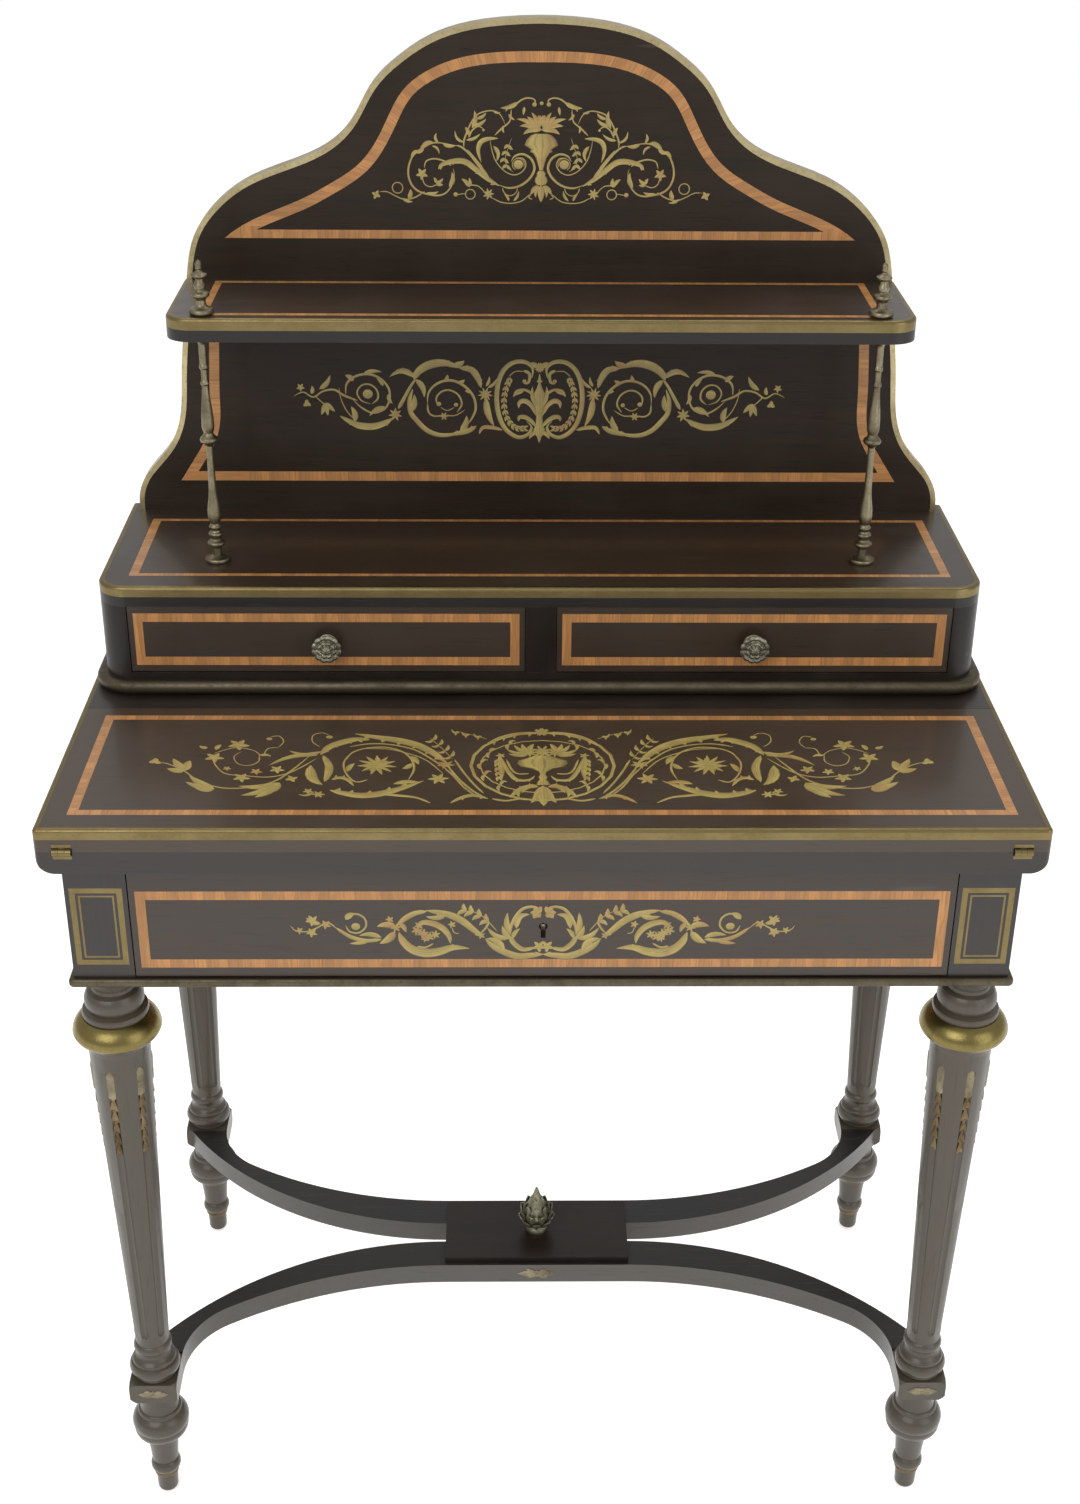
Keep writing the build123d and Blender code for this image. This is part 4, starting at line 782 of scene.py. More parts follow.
def smooth(points, steps=5):
    """Points along a rounded path that passes through each of the given points."""
    path = []
    last = len(points) - 1
    for index in range(last):
        before = points[max(index - 1, 0)]
        start, end = points[index], points[index + 1]
        after = points[min(index + 2, last)]
        for step in range(steps):
            t = step / steps
            path.append(tuple(
                0.5 * (2 * b + (c - a) * t + (2 * a - 5 * b + 4 * c - d) * t * t
                       + (3 * b - a - 3 * c + d) * t ** 3)
                for a, b, c, d in zip(before, start, end, after)))
    path.append(tuple(points[-1]))
    return path


def new_object(name, data):
    """An object in the scene."""
    thing = bpy.data.objects.new(name, data)
    bpy.context.scene.collection.objects.link(thing)
    return thing


def select_only(piece):
    """Deselect everything, then make one piece active and selected."""
    bpy.ops.object.select_all(action="DESELECT")
    piece.select_set(True)
    bpy.context.view_layer.objects.active = piece


def thicken(piece, depth):
    """Give a flat piece a thickness below its face."""
    select_only(piece)
    solid = piece.modifiers.new("thickness", "SOLIDIFY")
    solid.thickness = depth
    solid.offset = -1.0
    bpy.ops.object.modifier_apply(modifier=solid.name)


def edit(piece):
    """Open a piece for mesh tools, with all of it selected."""
    select_only(piece)
    bpy.ops.object.mode_set(mode="EDIT")
    bpy.ops.mesh.select_all(action="SELECT")


def close_mesh(merge=0.0):
    """Merge points closer than a distance, turn all faces outwards and leave the mesh tools."""
    bpy.ops.mesh.select_all(action="SELECT")
    if merge:
        bpy.ops.mesh.remove_doubles(threshold=merge)
    bpy.ops.mesh.normals_make_consistent(inside=False)
    bpy.ops.object.mode_set(mode="OBJECT")


def dress(piece, *names):
    """Give a piece its materials, by name, in place of any it had."""
    piece.data.materials.clear()
    for name in names:
        piece.data.materials.append(bpy.data.materials[name])


class DESK_OT_inlay_upper(bpy.types.Operator):
    """Inlay the urn and scrolls in the top of the back panel"""

    bl_idname = "desk.inlay_upper"
    bl_label = "Inlay the upper panel"

    def execute(self, context):
        face_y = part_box("back_panel")[0].y
        grid = Drawing(axis=144.5, origin=(0.0, face_y, 1.2441), down=(0, 0, -1),
                       unit=(1.028, 1.002))
        # knot and arch over the urn
        grid.ball(1.6, (144.5, 11))
        grid.ball(1.9, (138.5, 12))
        grid.stem(0.6, 0.8, (139, 12), (138.5, 8), (133, 6.5), (127, 8.5), (122, 13))
        grid.blades((2.1, (125, 10), (110, 15), -0.1), (1.2, (120, 13), (114, 18)),
                    (1.3, (130, 14), (129, 21), 0.0))
        grid.stem(0.5, 0.8, (119, 16), (118.5, 22), (117, 27), (111, 32), (105, 38))
        grid.blades((1.3, (117, 20), (122, 25)), (1.2, (112, 30), (113, 36)))
        # flowering spray
        grid.stem(0.9, 0.4, (79, 48), (79, 43), (81, 37), (85, 28), (90, 21), (97, 18), (104, 17.5),
                  (110, 21), (114, 29))
        grid.blades((2.2, (86, 32), (88, 17)), (1.8, (87, 30), (98, 24)), (1.6, (90, 24), (98, 19)),
                    (1.9, (83, 38), (80, 31)), (1.2, (104, 17.5), (110, 19)),
                    (1.3, (79, 44), (71.5, 34), -0.2), (1.5, (81, 42), (93, 36.5)))
        grid.stem(0.9, 0.4, (83, 40), (86, 34), (91, 30.5), (95.5, 32.5))
        grid.ball(1.1, (95.5, 33.5))
        # crescent leaf and inner scroll
        grid.stem(0.4, 0.7, (93.5, 61), (91, 51), (93, 44), (99, 41), (108, 40.5), middle=2.2)
        grid.stem(0.4, 0.6, (101, 41), (102.5, 50), (106, 60), (113, 68), (121, 71.5), (128, 69),
                  (131.5, 63), (129, 57.5), (123, 57))
        grid.blade(1.9, (104, 47), (106.5, 60), -0.2)
        grid.ball(4.2, (125, 62.5))
        grid.ring(5.2, 0.35, (125, 62.5), 120, 260)
        grid.stem(0.7, 0.7, (119, 60), (122, 55.5), (129, 53.8), (136, 58), (138.7, 66), (135, 74),
                  (127, 80.5), (117, 82.7), (108, 80), middle=1.1)
        for u, v in ((117, 46), (115, 51.5), (113.6, 57.5), (115.5, 63)):
            grid.blade(1.5, (u, v), (u - 4, v + 3.5))
            grid.blade(1.5, (u, v), (u + 3.5, v + 4))
        grid.stem(0.25, 0.3, (119.5, 40), (117, 47), (114, 57), (116, 65), (121, 69))
        # great leaf going outwards, with its upper strand
        grid.acanthus(2.6, 5, (109, 81), (99, 75), (89, 67), (80, 60.5), (70, 60), (60, 63),
                      (57, 67), side=-1, reach=1.2)
        grid.stem(1.6, 0.5, (100, 74), (92, 64), (84, 54), (77, 48), (72, 46.5))
        grid.stem(0.8, 0.3, (95, 66), (88, 57), (82, 50))
        # outer scroll
        grid.stem(0.5, 0.5, (73, 47), (63, 45), (53, 44.5), (44, 49), (36, 55), (32, 64),
                  (31.5, 73), (34.5, 81), (40, 86), (48, 88.5), (57, 89.5), (64, 86.5), (69, 79),
                  (70.5, 71), (69.5, 66), middle=0.9)
        grid.blades((1.9, (61, 45), (72.5, 46.5)), (1.4, (57, 44), (56, 36), -0.2),
                    (2.2, (53, 44), (42, 49)), (2.0, (45, 48), (36, 52), -0.2),
                    (1.8, (40, 51), (34, 57)), (1.2, (52, 47), (58, 54), -0.2),
                    (2.3, (66, 82), (68.5, 69), 0.15), (1.7, (46, 87.5), (57, 86)))
        grid.flower(5.5, 5, (43, 71), 0.4)
        grid.stem(0.5, 0.5, (43, 73), (45, 79.5), (50, 82), (56, 80))
        grid.spray(1.6, (55, 79), (53, 74), (61, 74.5), (61, 80))
        grid.stem(0.5, 0.9, (45, 66), (47, 60), (54, 58), (62, 60), (68, 64))
        # trailing tendril
        grid.stem(0.7, 0.4, (45, 86), (37, 91), (28, 93), (20, 90), (13, 86.5), (6, 86.5))
        grid.ring(4.6, 0.5, (22, 83))
        grid.flower(4.2, 4, (3.5, 89), 0.5)
        grid.blades((2.2, (31, 92), (33, 84)), (1.4, (26, 92), (35, 95)))
        # lower garland
        grid.flower(5.2, 7, (99.5, 88))
        grid.stem(0.5, 0.5, (102, 91), (110, 95), (119, 96), (128, 94), (135, 88))
        grid.ring(4.2, 0.5, (84, 88.3))
        grid.ball(2.0, (71.5, 88.5))
        grid.stem(0.4, 0.4, (73, 88.8), (77, 88), (80, 88))
        grid.stem(0.6, 0.4, (81, 80.5), (90, 81), (96, 86))
        grid.blades((2.0, (83, 82), (76.5, 75)), (1.7, (83, 82), (83, 74)))
        grid.ring(6.4, 0.45, (118, 83), 0, 180)
        grid.blades((1.2, (117, 94), (113, 88)), (1.3, (121, 94), (125.5, 85)))
        # urn with its flowers
        grid.spray(2.3, (141, 33), (123.5, 24), (126, 30), (129, 37), (132, 22), (136, 18.5),
                   (141.5, 20.5))
        grid.flower(5.0, 9, (138.5, 29), 0.2)
        grid.flower(4.4, 9, (144.5, 25), 0.1)
        grid.blade(2.6, (144.5, 33), (133, 35.5))
        grid.silhouette((36.5, 6.0), (38, 9.5), (41.5, 12.8), (46, 14.6), (48, 11.5), (50, 8.6),
                        (50.6, 9.6), (52, 9.6), (52.6, 7.4), (57, 4.6), (62, 3.0), (66, 1.8),
                        (67.5, 1.8))
        grid.silhouette((68, 2.4), (70, 3.8), (72.5, 3.8), (74, 5.2), (77, 5.6), (79.5, 4.2),
                        (80.4, 1.0))
        grid.blades((3.4, (144.5, 80.5), (144.5, 95), 0.0), (2.2, (143, 81), (135.5, 88.5)),
                    (1.7, (142, 81), (140, 91)))
        grid.stem(0.5, 0.5, (136, 88), (134, 91), (137, 92.5))
        grid.piece("inlay_upper", "desk")
        return {"FINISHED"}


class DESK_OT_inlay_middle(bpy.types.Operator):
    """Inlay the palmette and rolling scrolls in the back panel under the shelf"""

    bl_idname = "desk.inlay_middle"
    bl_label = "Inlay the middle panel"

    def execute(self, context):
        face_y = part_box("back_panel")[0].y
        grid = Drawing(axis=152.8, origin=(0.0, face_y, 1.0158), down=(0, 0, -1),
                       unit=(1.503, 1.555))
        # trailing end
        grid.stem(0.5, 1.3, (2, 28.5), (8, 26), (14, 29), (20, 25.5), (27, 24.5), (33, 28),
                  (41, 31))
        grid.flower(4.0, 5, (6.5, 23), 0.3)
        grid.blades((2.0, (13, 27), (13.5, 22)), (2.6, (18, 24), (25, 15.5)))
        grid.flower(4.0, 3, (10, 33), 0.5)
        grid.stem(0.6, 0.5, (15, 28), (19, 32), (22, 34))
        grid.spray(2.4, (21.5, 32.5), (18.5, 40), (22.5, 40.5), (27, 38), bow=0.0)
        # small scroll
        grid.ball(4.6, (47.5, 27))
        grid.stem(0.6, 1.0, (49, 33), (43.5, 31), (41, 26), (44, 21.7), (49, 21.2), (53, 24.5),
                  (53.6, 29.5), (50, 33))
        grid.stem(1.3, 0.8, (34, 27), (35, 20.5), (41, 16), (49, 15), (56, 18), (60.5, 24),
                  (60.5, 31), (57, 36.5), (50, 38.5), (43, 35), (38, 30))
        grid.blades((2.6, (39, 19), (34, 15.5)), (2.2, (45, 15), (56.5, 13.5), -0.1),
                    (2.0, (57, 22), (53, 17)), (2.4, (58, 35), (48, 40.5)),
                    (2.0, (60, 27), (62.5, 33)))
        grid.acanthus(3.4, 3, (62, 42), (57, 45), (50, 47), (42, 46.5), (36, 44), (30, 40.5),
                      side=-1, reach=0.9)
        grid.blade(3.0, (39, 44), (37, 34.5))
        grid.stem(0.6, 0.4, (38, 42), (34, 37), (31, 30), (30, 23))
        grid.flower(6.4, 7, (64, 39.5), 0.3)
        grid.stem(2.0, 1.0, (66, 36), (70, 29), (74, 22), (77, 18))
        # great medallion scroll
        grid.acanthus(4.0, 4, (76, 18), (79, 13), (86, 9), (95, 8), (104, 11), side=-1, reach=0.8)
        grid.blades((3.0, (77, 17), (61, 16.5), 0.25), (3.2, (100, 9.5), (107, 6.5)))
        grid.acanthus(3.2, 3, (104, 11), (111, 12), (115, 17), (117, 23), side=-1, reach=1.0)
        grid.blade(3.0, (77, 18), (82, 29), -0.15)
        grid.stem(1.8, 1.2, (75, 24), (73, 31), (73.5, 38), (77, 43), (83, 49), (90, 52), (98, 52),
                  (106, 50), middle=2.4)
        grid.blade(3.2, (73, 38), (76, 27))
        grid.acanthus(2.6, 3, (98, 52), (105, 50.5), (110, 49), (114, 46.5), side=-1, reach=1.1)
        grid.blade(3.2, (104, 50), (108, 40))
        grid.stem(0.8, 0.9, (84, 33), (84.5, 27), (88, 22), (94, 19), (101, 19), (108, 23),
                  (112.5, 29), (113.5, 36), (111, 42), (108, 46), middle=1.3)
        grid.blades((2.0, (95, 19), (96.5, 15)), (2.0, (103, 20), (107, 18)),
                    (2.0, (111, 26), (107, 25)))
        grid.stem(1.0, 0.5, (84, 33), (84.5, 38), (88, 40.5), (94, 40), (101, 40), (107, 36.5))
        grid.stem(0.9, 0.9, (90, 34), (89.6, 29), (93, 25.3), (98, 24.6), (103, 27.5), (105, 33),
                  (102, 38))
        grid.ball(2.2, (91, 33))
        grid.ball(2.0, (101.5, 33.5))
        grid.stem(0.5, 0.5, (92, 35), (96, 37), (100.5, 35))
        grid.flower(4.2, 6, (94, 40.5))
        # clasp between the medallion and the oval
        grid.flower(7.0, 9, (119.5, 27), 0.2)
        grid.blades((3.4, (120, 29), (125, 47), 0.08), (1.6, (120, 22), (122, 16)),
                    (1.6, (121, 23), (127, 17)))
        # oval pair of scrolls
        grid.stem(1.6, 1.0, (148, 17), (148.5, 11), (144, 7.3), (137, 7.5), (131, 12), (127.5, 20),
                  (126.5, 31), (128.5, 42), (133, 49.5), (140, 53.5), (146, 51.5), (148, 47),
                  (145, 43.5), middle=2.3)
        grid.husks(1.3, 4.6, (135, 17), (132, 24), (131, 33), (133, 42), (138, 47.5), (144, 48))
        grid.stem(0.5, 0.5, (135, 16), (132, 24), (131, 33), (133, 42), (138, 47.5), (144, 48))
        grid.stem(1.6, 1.1, (143, 12.5), (146.5, 14.5), (146, 19.5), (143, 20))
        grid.ball(1.9, (143.5, 19))
        grid.stem(0.5, 0.5, (134, 16), (138, 13), (143, 13))
        grid.blade(2.6, (151, 11), (147.5, 7.5))
        grid.flower(5.0, 7, (152.8, 10.5), 0.0)
        # flame palmette
        grid.silhouette((14.5, 0.4), (18, 1.4), (19, 3.0), (20, 1.0), (23, 2.6), (27, 5.6),
                        (32, 6.0), (36, 4.0), (41, 3.0), (46, 3.4), (48.5, 5.6), (51, 5.2),
                        (54, 1.0))
        grid.acanthus(2.4, 2, (151, 40), (148, 34), (144, 31), (140.5, 32), (140, 35.5), side=1,
                      reach=0.7)
        grid.acanthus(2.2, 2, (151, 47), (148, 43.5), (144, 41), (140.5, 41), (140, 43.5), side=1,
                      reach=0.7)
        grid.stem(1.6, 0.8, (150, 30), (147.5, 26), (143, 24), (138.5, 25), (137, 28.5))
        grid.blades((2.4, (143, 25), (136.5, 28)), (2.2, (151, 34), (148.5, 22), -0.1),
                    (2.2, (151, 50), (146.5, 54.5)), (2.4, (152.8, 48), (152.8, 57), 0.0))
        # tail of the oval
        grid.acanthus(2.0, 2, (130, 49), (124, 47.5), (118, 47.5), (115.5, 51.5), side=1, reach=0.8)
        grid.piece("inlay_middle", "desk")
        return {"FINISHED"}


class DESK_OT_inlay_leaf(bpy.types.Operator):
    """Inlay the urn medallion, rolling scrolls and trailing flowers in the fold-over leaf"""

    bl_idname = "desk.inlay_leaf"
    bl_label = "Inlay the leaf"

    def execute(self, context):
        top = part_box("leaf")[1].z
        grid = Drawing(axis=0.0, origin=(0.0, -0.0255, top), down=(0, -1, 0),
                       unit=(0.8705, 1.757), narrowing=0.00085)
        # oval medallion
        grid.ring(62.5, 1.6, (0, 52), 0, 180, squash=0.95)
        grid.ring(62.5, 1.6, (0, 52), 0, -180, squash=0.95)
        grid.ring(54.5, 0.8, (0, 52.5), -90, 180, squash=0.84)
        for degrees in (-58, -32, -6, 20, 46, 68):
            angle = math.radians(degrees)
            u = 62 * math.cos(angle)
            v = 52.5 + 26 * math.sin(angle)
            grid.blade(2.0, (u, v), (u - 7, v - 3), bow=0.3)
            grid.blade(2.0, (u, v), (u + 1, v + 6), bow=-0.3)
        grid.flower(7.5, 7, (0, 17.5), 0.1)
        grid.acanthus(2.6, 4, (6, 18), (24, 19.5), (42, 24), (58, 32), side=1, reach=1.4)
        for u, v in ((60, 22), (72, 20), (82, 17.5)):
            grid.blade(1.8, (u, v), (u + 8, v - 3), bow=0.3)
            grid.blade(1.8, (u, v), (u + 4, v + 4), bow=-0.3)
        grid.stem(0.5, 0.4, (55, 25), (68, 21), (85, 17))
        # urn, flowers and swags
        grid.flower(11.0, 9, (0, 38), 0.2)
        grid.flower(8.0, 8, (13, 39), 0.1)
        grid.spray(3.0, (14, 39), (36, 35), (28, 31), (20, 30), (34, 40), (27, 42), (8, 30))
        grid.silhouette((42, 6), (45, 15), (47, 21), (50, 22), (53, 19), (55, 9), (58, 3.5),
                        (61, 2.4), (63, 4.0), (66, 3.0), (68, 5.0), (71, 6.0))
        grid.acanthus(2.4, 4, (42, 43), (38, 52), (33, 60), (26, 66), (14, 66), (8, 62), side=-1,
                      reach=0.8)
        grid.stem(1.1, 1.1, (36, 46), (31, 56), (25, 60), (14, 60))
        grid.blade(3.4, (43, 42), (42, 67), 0.06)
        grid.flower(4.6, 5, (42, 42))
        grid.husks(1.8, 4.0, (45, 46), (45, 56), (44, 66))
        # palmette under the urn
        grid.blades((7.0, (0, 72), (0, 91), 0.0), (4.2, (3, 73), (13, 88)),
                    (3.8, (5, 73), (22, 79), -0.2))
        grid.acanthus(3.0, 3, (6, 72), (18, 73), (26, 77), (34, 83), side=-1, reach=0.9)
        grid.stem(1.2, 1.6, (10, 86), (22, 84), (38, 86), (52, 84))
        # tails and the bundle that rises to the great scroll
        grid.acanthus(2.6, 2, (56, 84), (70, 81), (82, 83), (94, 88), side=1, reach=0.8)
        grid.stem(1.4, 1.2, (60, 83), (72, 76), (84, 66), (95, 53))
        grid.stem(1.0, 1.0, (66, 83), (80, 73), (90, 62), (98, 55))
        grid.stem(1.1, 1.2, (60, 79), (70, 70), (80, 58), (88, 46))
        grid.flower(8.0, 7, (97, 51), 0.3)
        grid.flower(9.5, 6, (105, 65), 0.1)
        grid.stem(0.4, 0.5, (90, 46), (97, 38), (104, 31), (112, 24))
        for u, v in ((92, 43), (97, 37), (103, 31), (109, 26)):
            grid.blade(2.0, (u, v), (u + 8, v + 1), bow=0.2)
            grid.blade(2.0, (u, v), (u - 3, v - 6), bow=-0.2)
        # great scroll
        grid.acanthus(5.2, 6, (97, 49), (110, 39), (126, 31), (146, 26), (166, 23), (186, 19.5),
                      side=1, reach=0.8)
        grid.acanthus(4.6, 4, (222, 41), (212, 33), (198, 28), (184, 25), (172, 26), side=-1,
                      reach=0.7)
        grid.stem(1.2, 1.0, (96, 56), (112, 45), (128, 36), (150, 31), (172, 30), (192, 33))
        grid.stem(0.8, 0.8, (100, 60), (116, 47), (134, 40), (154, 35.5), (176, 35))
        grid.blades((3.8, (221, 38), (253, 37), 0.12), (3.4, (225, 42), (274, 52), -0.08))
        grid.acanthus(4.0, 2, (219, 42), (214, 52), (215, 60), (219, 68), side=-1, reach=0.6)
        grid.blade(5.6, (232, 52), (221, 71), -0.25)
        grid.stem(0.7, 0.5, (222, 33), (229, 28), (228, 21), (219, 18.5), (212, 21))
        grid.ball(3.0, (212, 23))
        # rose in the scroll
        for radius, petals, turn in ((17.5, 11, 0.1), (12.5, 9, 0.3), (7.5, 7, 0.0)):
            grid.flower(radius, petals, (166, 51.5), turn)
        grid.stem(0.9, 1.2, (196, 46), (190, 39), (176, 34.5), (156, 33.5), (140, 38), (131, 46),
                  (129, 56), (135, 66))
        grid.blades((3.6, (133, 43), (124, 51)), (3.2, (131, 50), (141, 55)))
        grid.stem(0.9, 1.0, (194, 42), (199, 50), (197, 60), (188, 68), (176, 66))
        grid.acanthus(2.4, 3, (212, 66), (204, 64), (196, 66), (190, 72), side=1, reach=1.1)
        grid.blade(3.0, (196, 58), (188, 50))
        # lower band of the scroll
        grid.acanthus(4.8, 5, (214, 76), (200, 79), (182, 81), (162, 79), (142, 74), (120, 67),
                      side=1, reach=0.8)
        grid.stem(2.4, 1.0, (168, 79), (146, 81), (128, 83), (114, 88))
        grid.blade(3.4, (150, 70), (122, 69), 0.06)
        grid.flower(6.0, 6, (226, 80))
        grid.flower(5.0, 5, (236, 77), 0.3)
        grid.blade(1.6, (230, 78), (246, 80))
        # garland going outwards
        grid.stem(0.8, 0.8, (226, 45), (240, 53), (256, 60), (276, 63.5), (300, 62), (318, 60),
                  (327, 52), (330, 44))
        grid.stem(1.2, 0.7, (232, 42), (250, 56), (268, 67), (292, 73), (320, 74), (344, 68),
                  (358, 58), (376, 50), (392, 49))
        for centre, radius, petals in (((266, 56), 7.0, 5), ((287, 58), 5.6, 5),
            ((302, 64), 8.0, 5), ((252, 65), 6.0, 4), ((303, 31), 10.0, 5), ((328, 44), 9.0, 5),
            ((387, 48), 6.0, 3), ((316, 55), 4.0, 5)):
            grid.flower(radius, petals, centre, 0.4)
        grid.spray(4.6, (264, 69), (306, 72), (304, 81), (290, 83), (277, 79), bow=0.06)
        grid.spray(5.0, (330, 75), (354, 62), (358, 68), (350, 73), bow=0.05)
        grid.spray(4.8, (358, 57), (376, 55), (369, 45), (352, 47), bow=0.05)
        grid.stem(0.5, 0.6, (328, 40), (316, 36), (303, 34), (288, 37), (280, 42), (274, 35),
                  (264, 34))
        grid.stem(0.5, 0.7, (264, 34), (258, 28), (262, 22), (271, 23))
        grid.ball(2.6, (272, 25))
        grid.stem(0.5, 0.7, (300, 38), (308, 43), (305, 50), (294, 52), (284, 48), (283, 41))
        grid.blades((2.8, (334, 34), (342, 32)), (2.6, (326, 36), (320, 31)),
                    (2.4, (282, 42), (271, 43)))
        grid.piece("inlay_leaf", "leaf")
        return {"FINISHED"}


class DESK_OT_inlay_drawer(bpy.types.Operator):
    """Inlay the scrolls round the keyhole of the writing drawer"""

    bl_idname = "desk.inlay_drawer"
    bl_label = "Inlay the writing drawer"

    def execute(self, context):
        face_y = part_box("writing_drawer_front")[0].y
        grid = Drawing(axis=0.0, origin=(0.0, face_y, 0.6911), down=(0, 0, -1),
                       unit=(0.812, 0.964))
        # cartouche round the keyhole
        grid.spray(2.8, (6, 18), (2, 11), (9, 12), (13, 17), (10, 23), (3, 22), bow=0.0)
        grid.stem(1.0, 0.9, (4, 13), (12, 11.5), (21, 14), (28, 22), (32, 31), (33, 40), middle=1.5)
        grid.blades((2.8, (33, 39), (35.5, 17), 0.1), (3.2, (27, 33), (13, 19), 0.3),
                    (2.2, (31, 43), (23, 33)), (2.8, (34, 43), (56, 32), 0.15),
                    (2.6, (32, 44), (41, 30)))
        grid.stem(2.0, 1.2, (33, 41), (29, 48), (20, 54), (8, 52), middle=2.4)
        grid.flower(6.0, 5, (4, 51), 0.4)
        # lower band
        grid.acanthus(3.4, 4, (0, 59), (12, 60), (25, 61), (38, 57), (50, 51), (58, 43), side=-1,
                      reach=0.8)
        grid.blade(3.6, (40, 57), (57, 43), -0.2)
        grid.flower(3.6, 5, (62, 40))
        grid.acanthus(3.4, 4, (60, 42), (70, 34), (80, 26), (92, 20), (104, 17), (117, 15), side=1,
                      reach=0.8)
        grid.stem(0.7, 1.4, (63, 38), (58, 33), (55, 27), (58, 22))
        grid.blade(2.6, (97, 20), (117, 21), 0.1)
        # sprig over the band
        grid.stem(0.5, 0.4, (46, 36), (54, 27), (62, 20), (72, 16), (84, 17))
        for u, v in ((55, 26), (62, 21), (70, 17.5), (77, 16)):
            grid.blade(2.2, (u, v), (u + 2, v - 8), bow=0.15)
            grid.blade(2.2, (u, v), (u + 9, v + 4), bow=-0.15)
        grid.flower(3.6, 5, (91, 29))
        grid.stem(0.5, 0.5, (91, 32), (89, 37), (84, 38))
        # rolling scroll with its cluster
        grid.acanthus(2.6, 3, (116, 16), (128, 18), (139, 24), (146, 31), side=-1, reach=0.8)
        grid.flower(4.6, 6, (147, 32), 0.2)
        grid.blade(3.2, (147, 31), (166, 31), -0.1)
        grid.flower(3.6, 5, (153, 24))
        grid.blades((3.6, (148, 36), (164, 48), 0.1), (2.4, (143, 28), (137, 37)))
        grid.acanthus(4.4, 4, (144, 37), (140, 46), (131, 54), (118, 57.5), (104, 56), (90, 52),
                      (74, 53), side=1, reach=0.6)
        for centre, radius in (((126, 35), 4.2), ((120, 38), 4.2), ((114, 41), 4.0),
            ((108, 39), 3.6), ((118, 43), 3.0), ((124, 30), 3.4)):
            grid.flower(radius + 0.8, 6, centre, 0.3)
        grid.acanthus(3.0, 3, (127, 31), (120, 27), (110, 28), (100, 33), (94, 41), (93, 48),
                      side=-1, reach=0.5)
        grid.stem(0.7, 1.2, (110, 48), (118, 52), (126, 51))
        # outer stem, curl and flowers
        grid.stem(1.6, 1.0, (162, 44), (178, 45), (193, 41), (207, 32), middle=2.0)
        grid.blades((2.2, (172, 44), (194, 48), 0.05), (2.6, (162, 42), (184, 40), -0.1))
        grid.ball(3.6, (187, 31))
        grid.stem(0.8, 1.0, (197, 30), (193, 36), (184, 37), (177, 31), (178, 23), (186, 18.5),
                  (195, 21))
        grid.blade(3.0, (197, 24), (187, 18))
        grid.stem(0.8, 0.5, (206, 33), (215, 27), (225, 32), (236, 36), (247, 35), (252, 30))
        for centre, radius in (((230, 25), 5.6), ((217, 29), 4.6), ((231, 37), 4.8),
            ((243, 35), 3.6)):
            grid.flower(radius, 5, centre, 0.2)
        grid.blade(2.4, (222, 28), (236, 22))
        grid.piece("inlay_drawer", "writing_drawer")
        return {"FINISHED"}


# ---- castings
def lathe(name, profile, steps=32):
    """A turned piece about the Z axis, from (radius, height) in millimetres, bottom to top."""
    data = bpy.data.meshes.new(name)
    points = [(radius * MM, 0.0, height * MM) for radius, height in profile]
    data.from_pydata(points, [(index, index + 1) for index in range(len(points) - 1)], [])
    piece = new_object(name, data)
    edit(piece)
    bpy.ops.mesh.spin(steps=steps, angle=2 * math.pi, center=(0, 0, 0), axis=(0, 0, 1))
    close_mesh(merge=0.000005)
    bpy.ops.object.shade_smooth_by_angle(angle=math.radians(40))
    return piece


def reshape(piece, change):
    """Move every vertex of a piece by a function of its own place."""
    for vertex in piece.data.vertices:
        vertex.co = change(vertex.co.copy())


def joined(name, pieces):
    """Several pieces made one, with a new name."""
    bpy.ops.object.select_all(action="DESELECT")
    for piece in pieces:
        piece.select_set(True)
    bpy.context.view_layer.objects.active = pieces[0]
    bpy.ops.object.join()
    whole = bpy.context.object
    whole.name = name
    return whole


def copy_of(piece, matrix, name):
    """A copy with its own mesh, moved by a matrix that goes into the mesh."""
    twin = piece.copy()
    twin.data = piece.data.copy()
    twin.name = name
    bpy.context.scene.collection.objects.link(twin)
    twin.data.transform(matrix)
    return twin


LEG_PLACES = ("front_left", "front_right", "back_left", "back_right")
FLUTE_COUNT = 6
FLUTE_PHASE = math.radians(-13.0)
FLUTE_OUT = 2.0

# (radius, height) of the leg's column, and the rod in its flutes, in millimetres
COLUMN_BOTTOM = (15.4, 195.0)
COLUMN_TOP = (26.2, 529.0)
ROD_BOTTOM = 487.0
ROD_TOP = 515.6

# the string of husks, and (radius, drop from the top) of one husk, in millimetres
HUSK_COUNT = 5
HUSK_DROP = 12.2
HUSK_GAP = 0.4
HUSK_LIFT = 0.7
HUSK_SQUEEZE = (1.08, 0.60, 1.0, 1.0)
FIRST_HUSK = 0.94
HUSK_SHRINK = 0.05
HUSK_PROFILE = (
    (0, 0), (1.5, 0.3), (1.9, 1.9), (1.4, 2.8), (2.3, 4.6), (3.1, 7.4), (3.5, 10.2), (3.9, 11.8),
    (3.1, 12.1), (1.6, 10.2), (0, 9.8))

# (radius, height) of the cone's core and of a drawer knob, in millimetres
CONE_PROFILE = (
    (0, 0.0), (10.3, 0.0), (11.0, 2.0), (10.3, 4.2), (7.2, 6.0), (6.6, 7.6), (8.6, 9.0),
    (12.2, 13.0), (13.8, 18.0), (13.6, 23.0), (11.6, 29.0), (8.4, 35.0), (5.0, 40.5),
    (3.2, 44.0), (2.2, 48.5), (1.1, 52.5), (0, 54.6))
CONE_NECK = 40.0

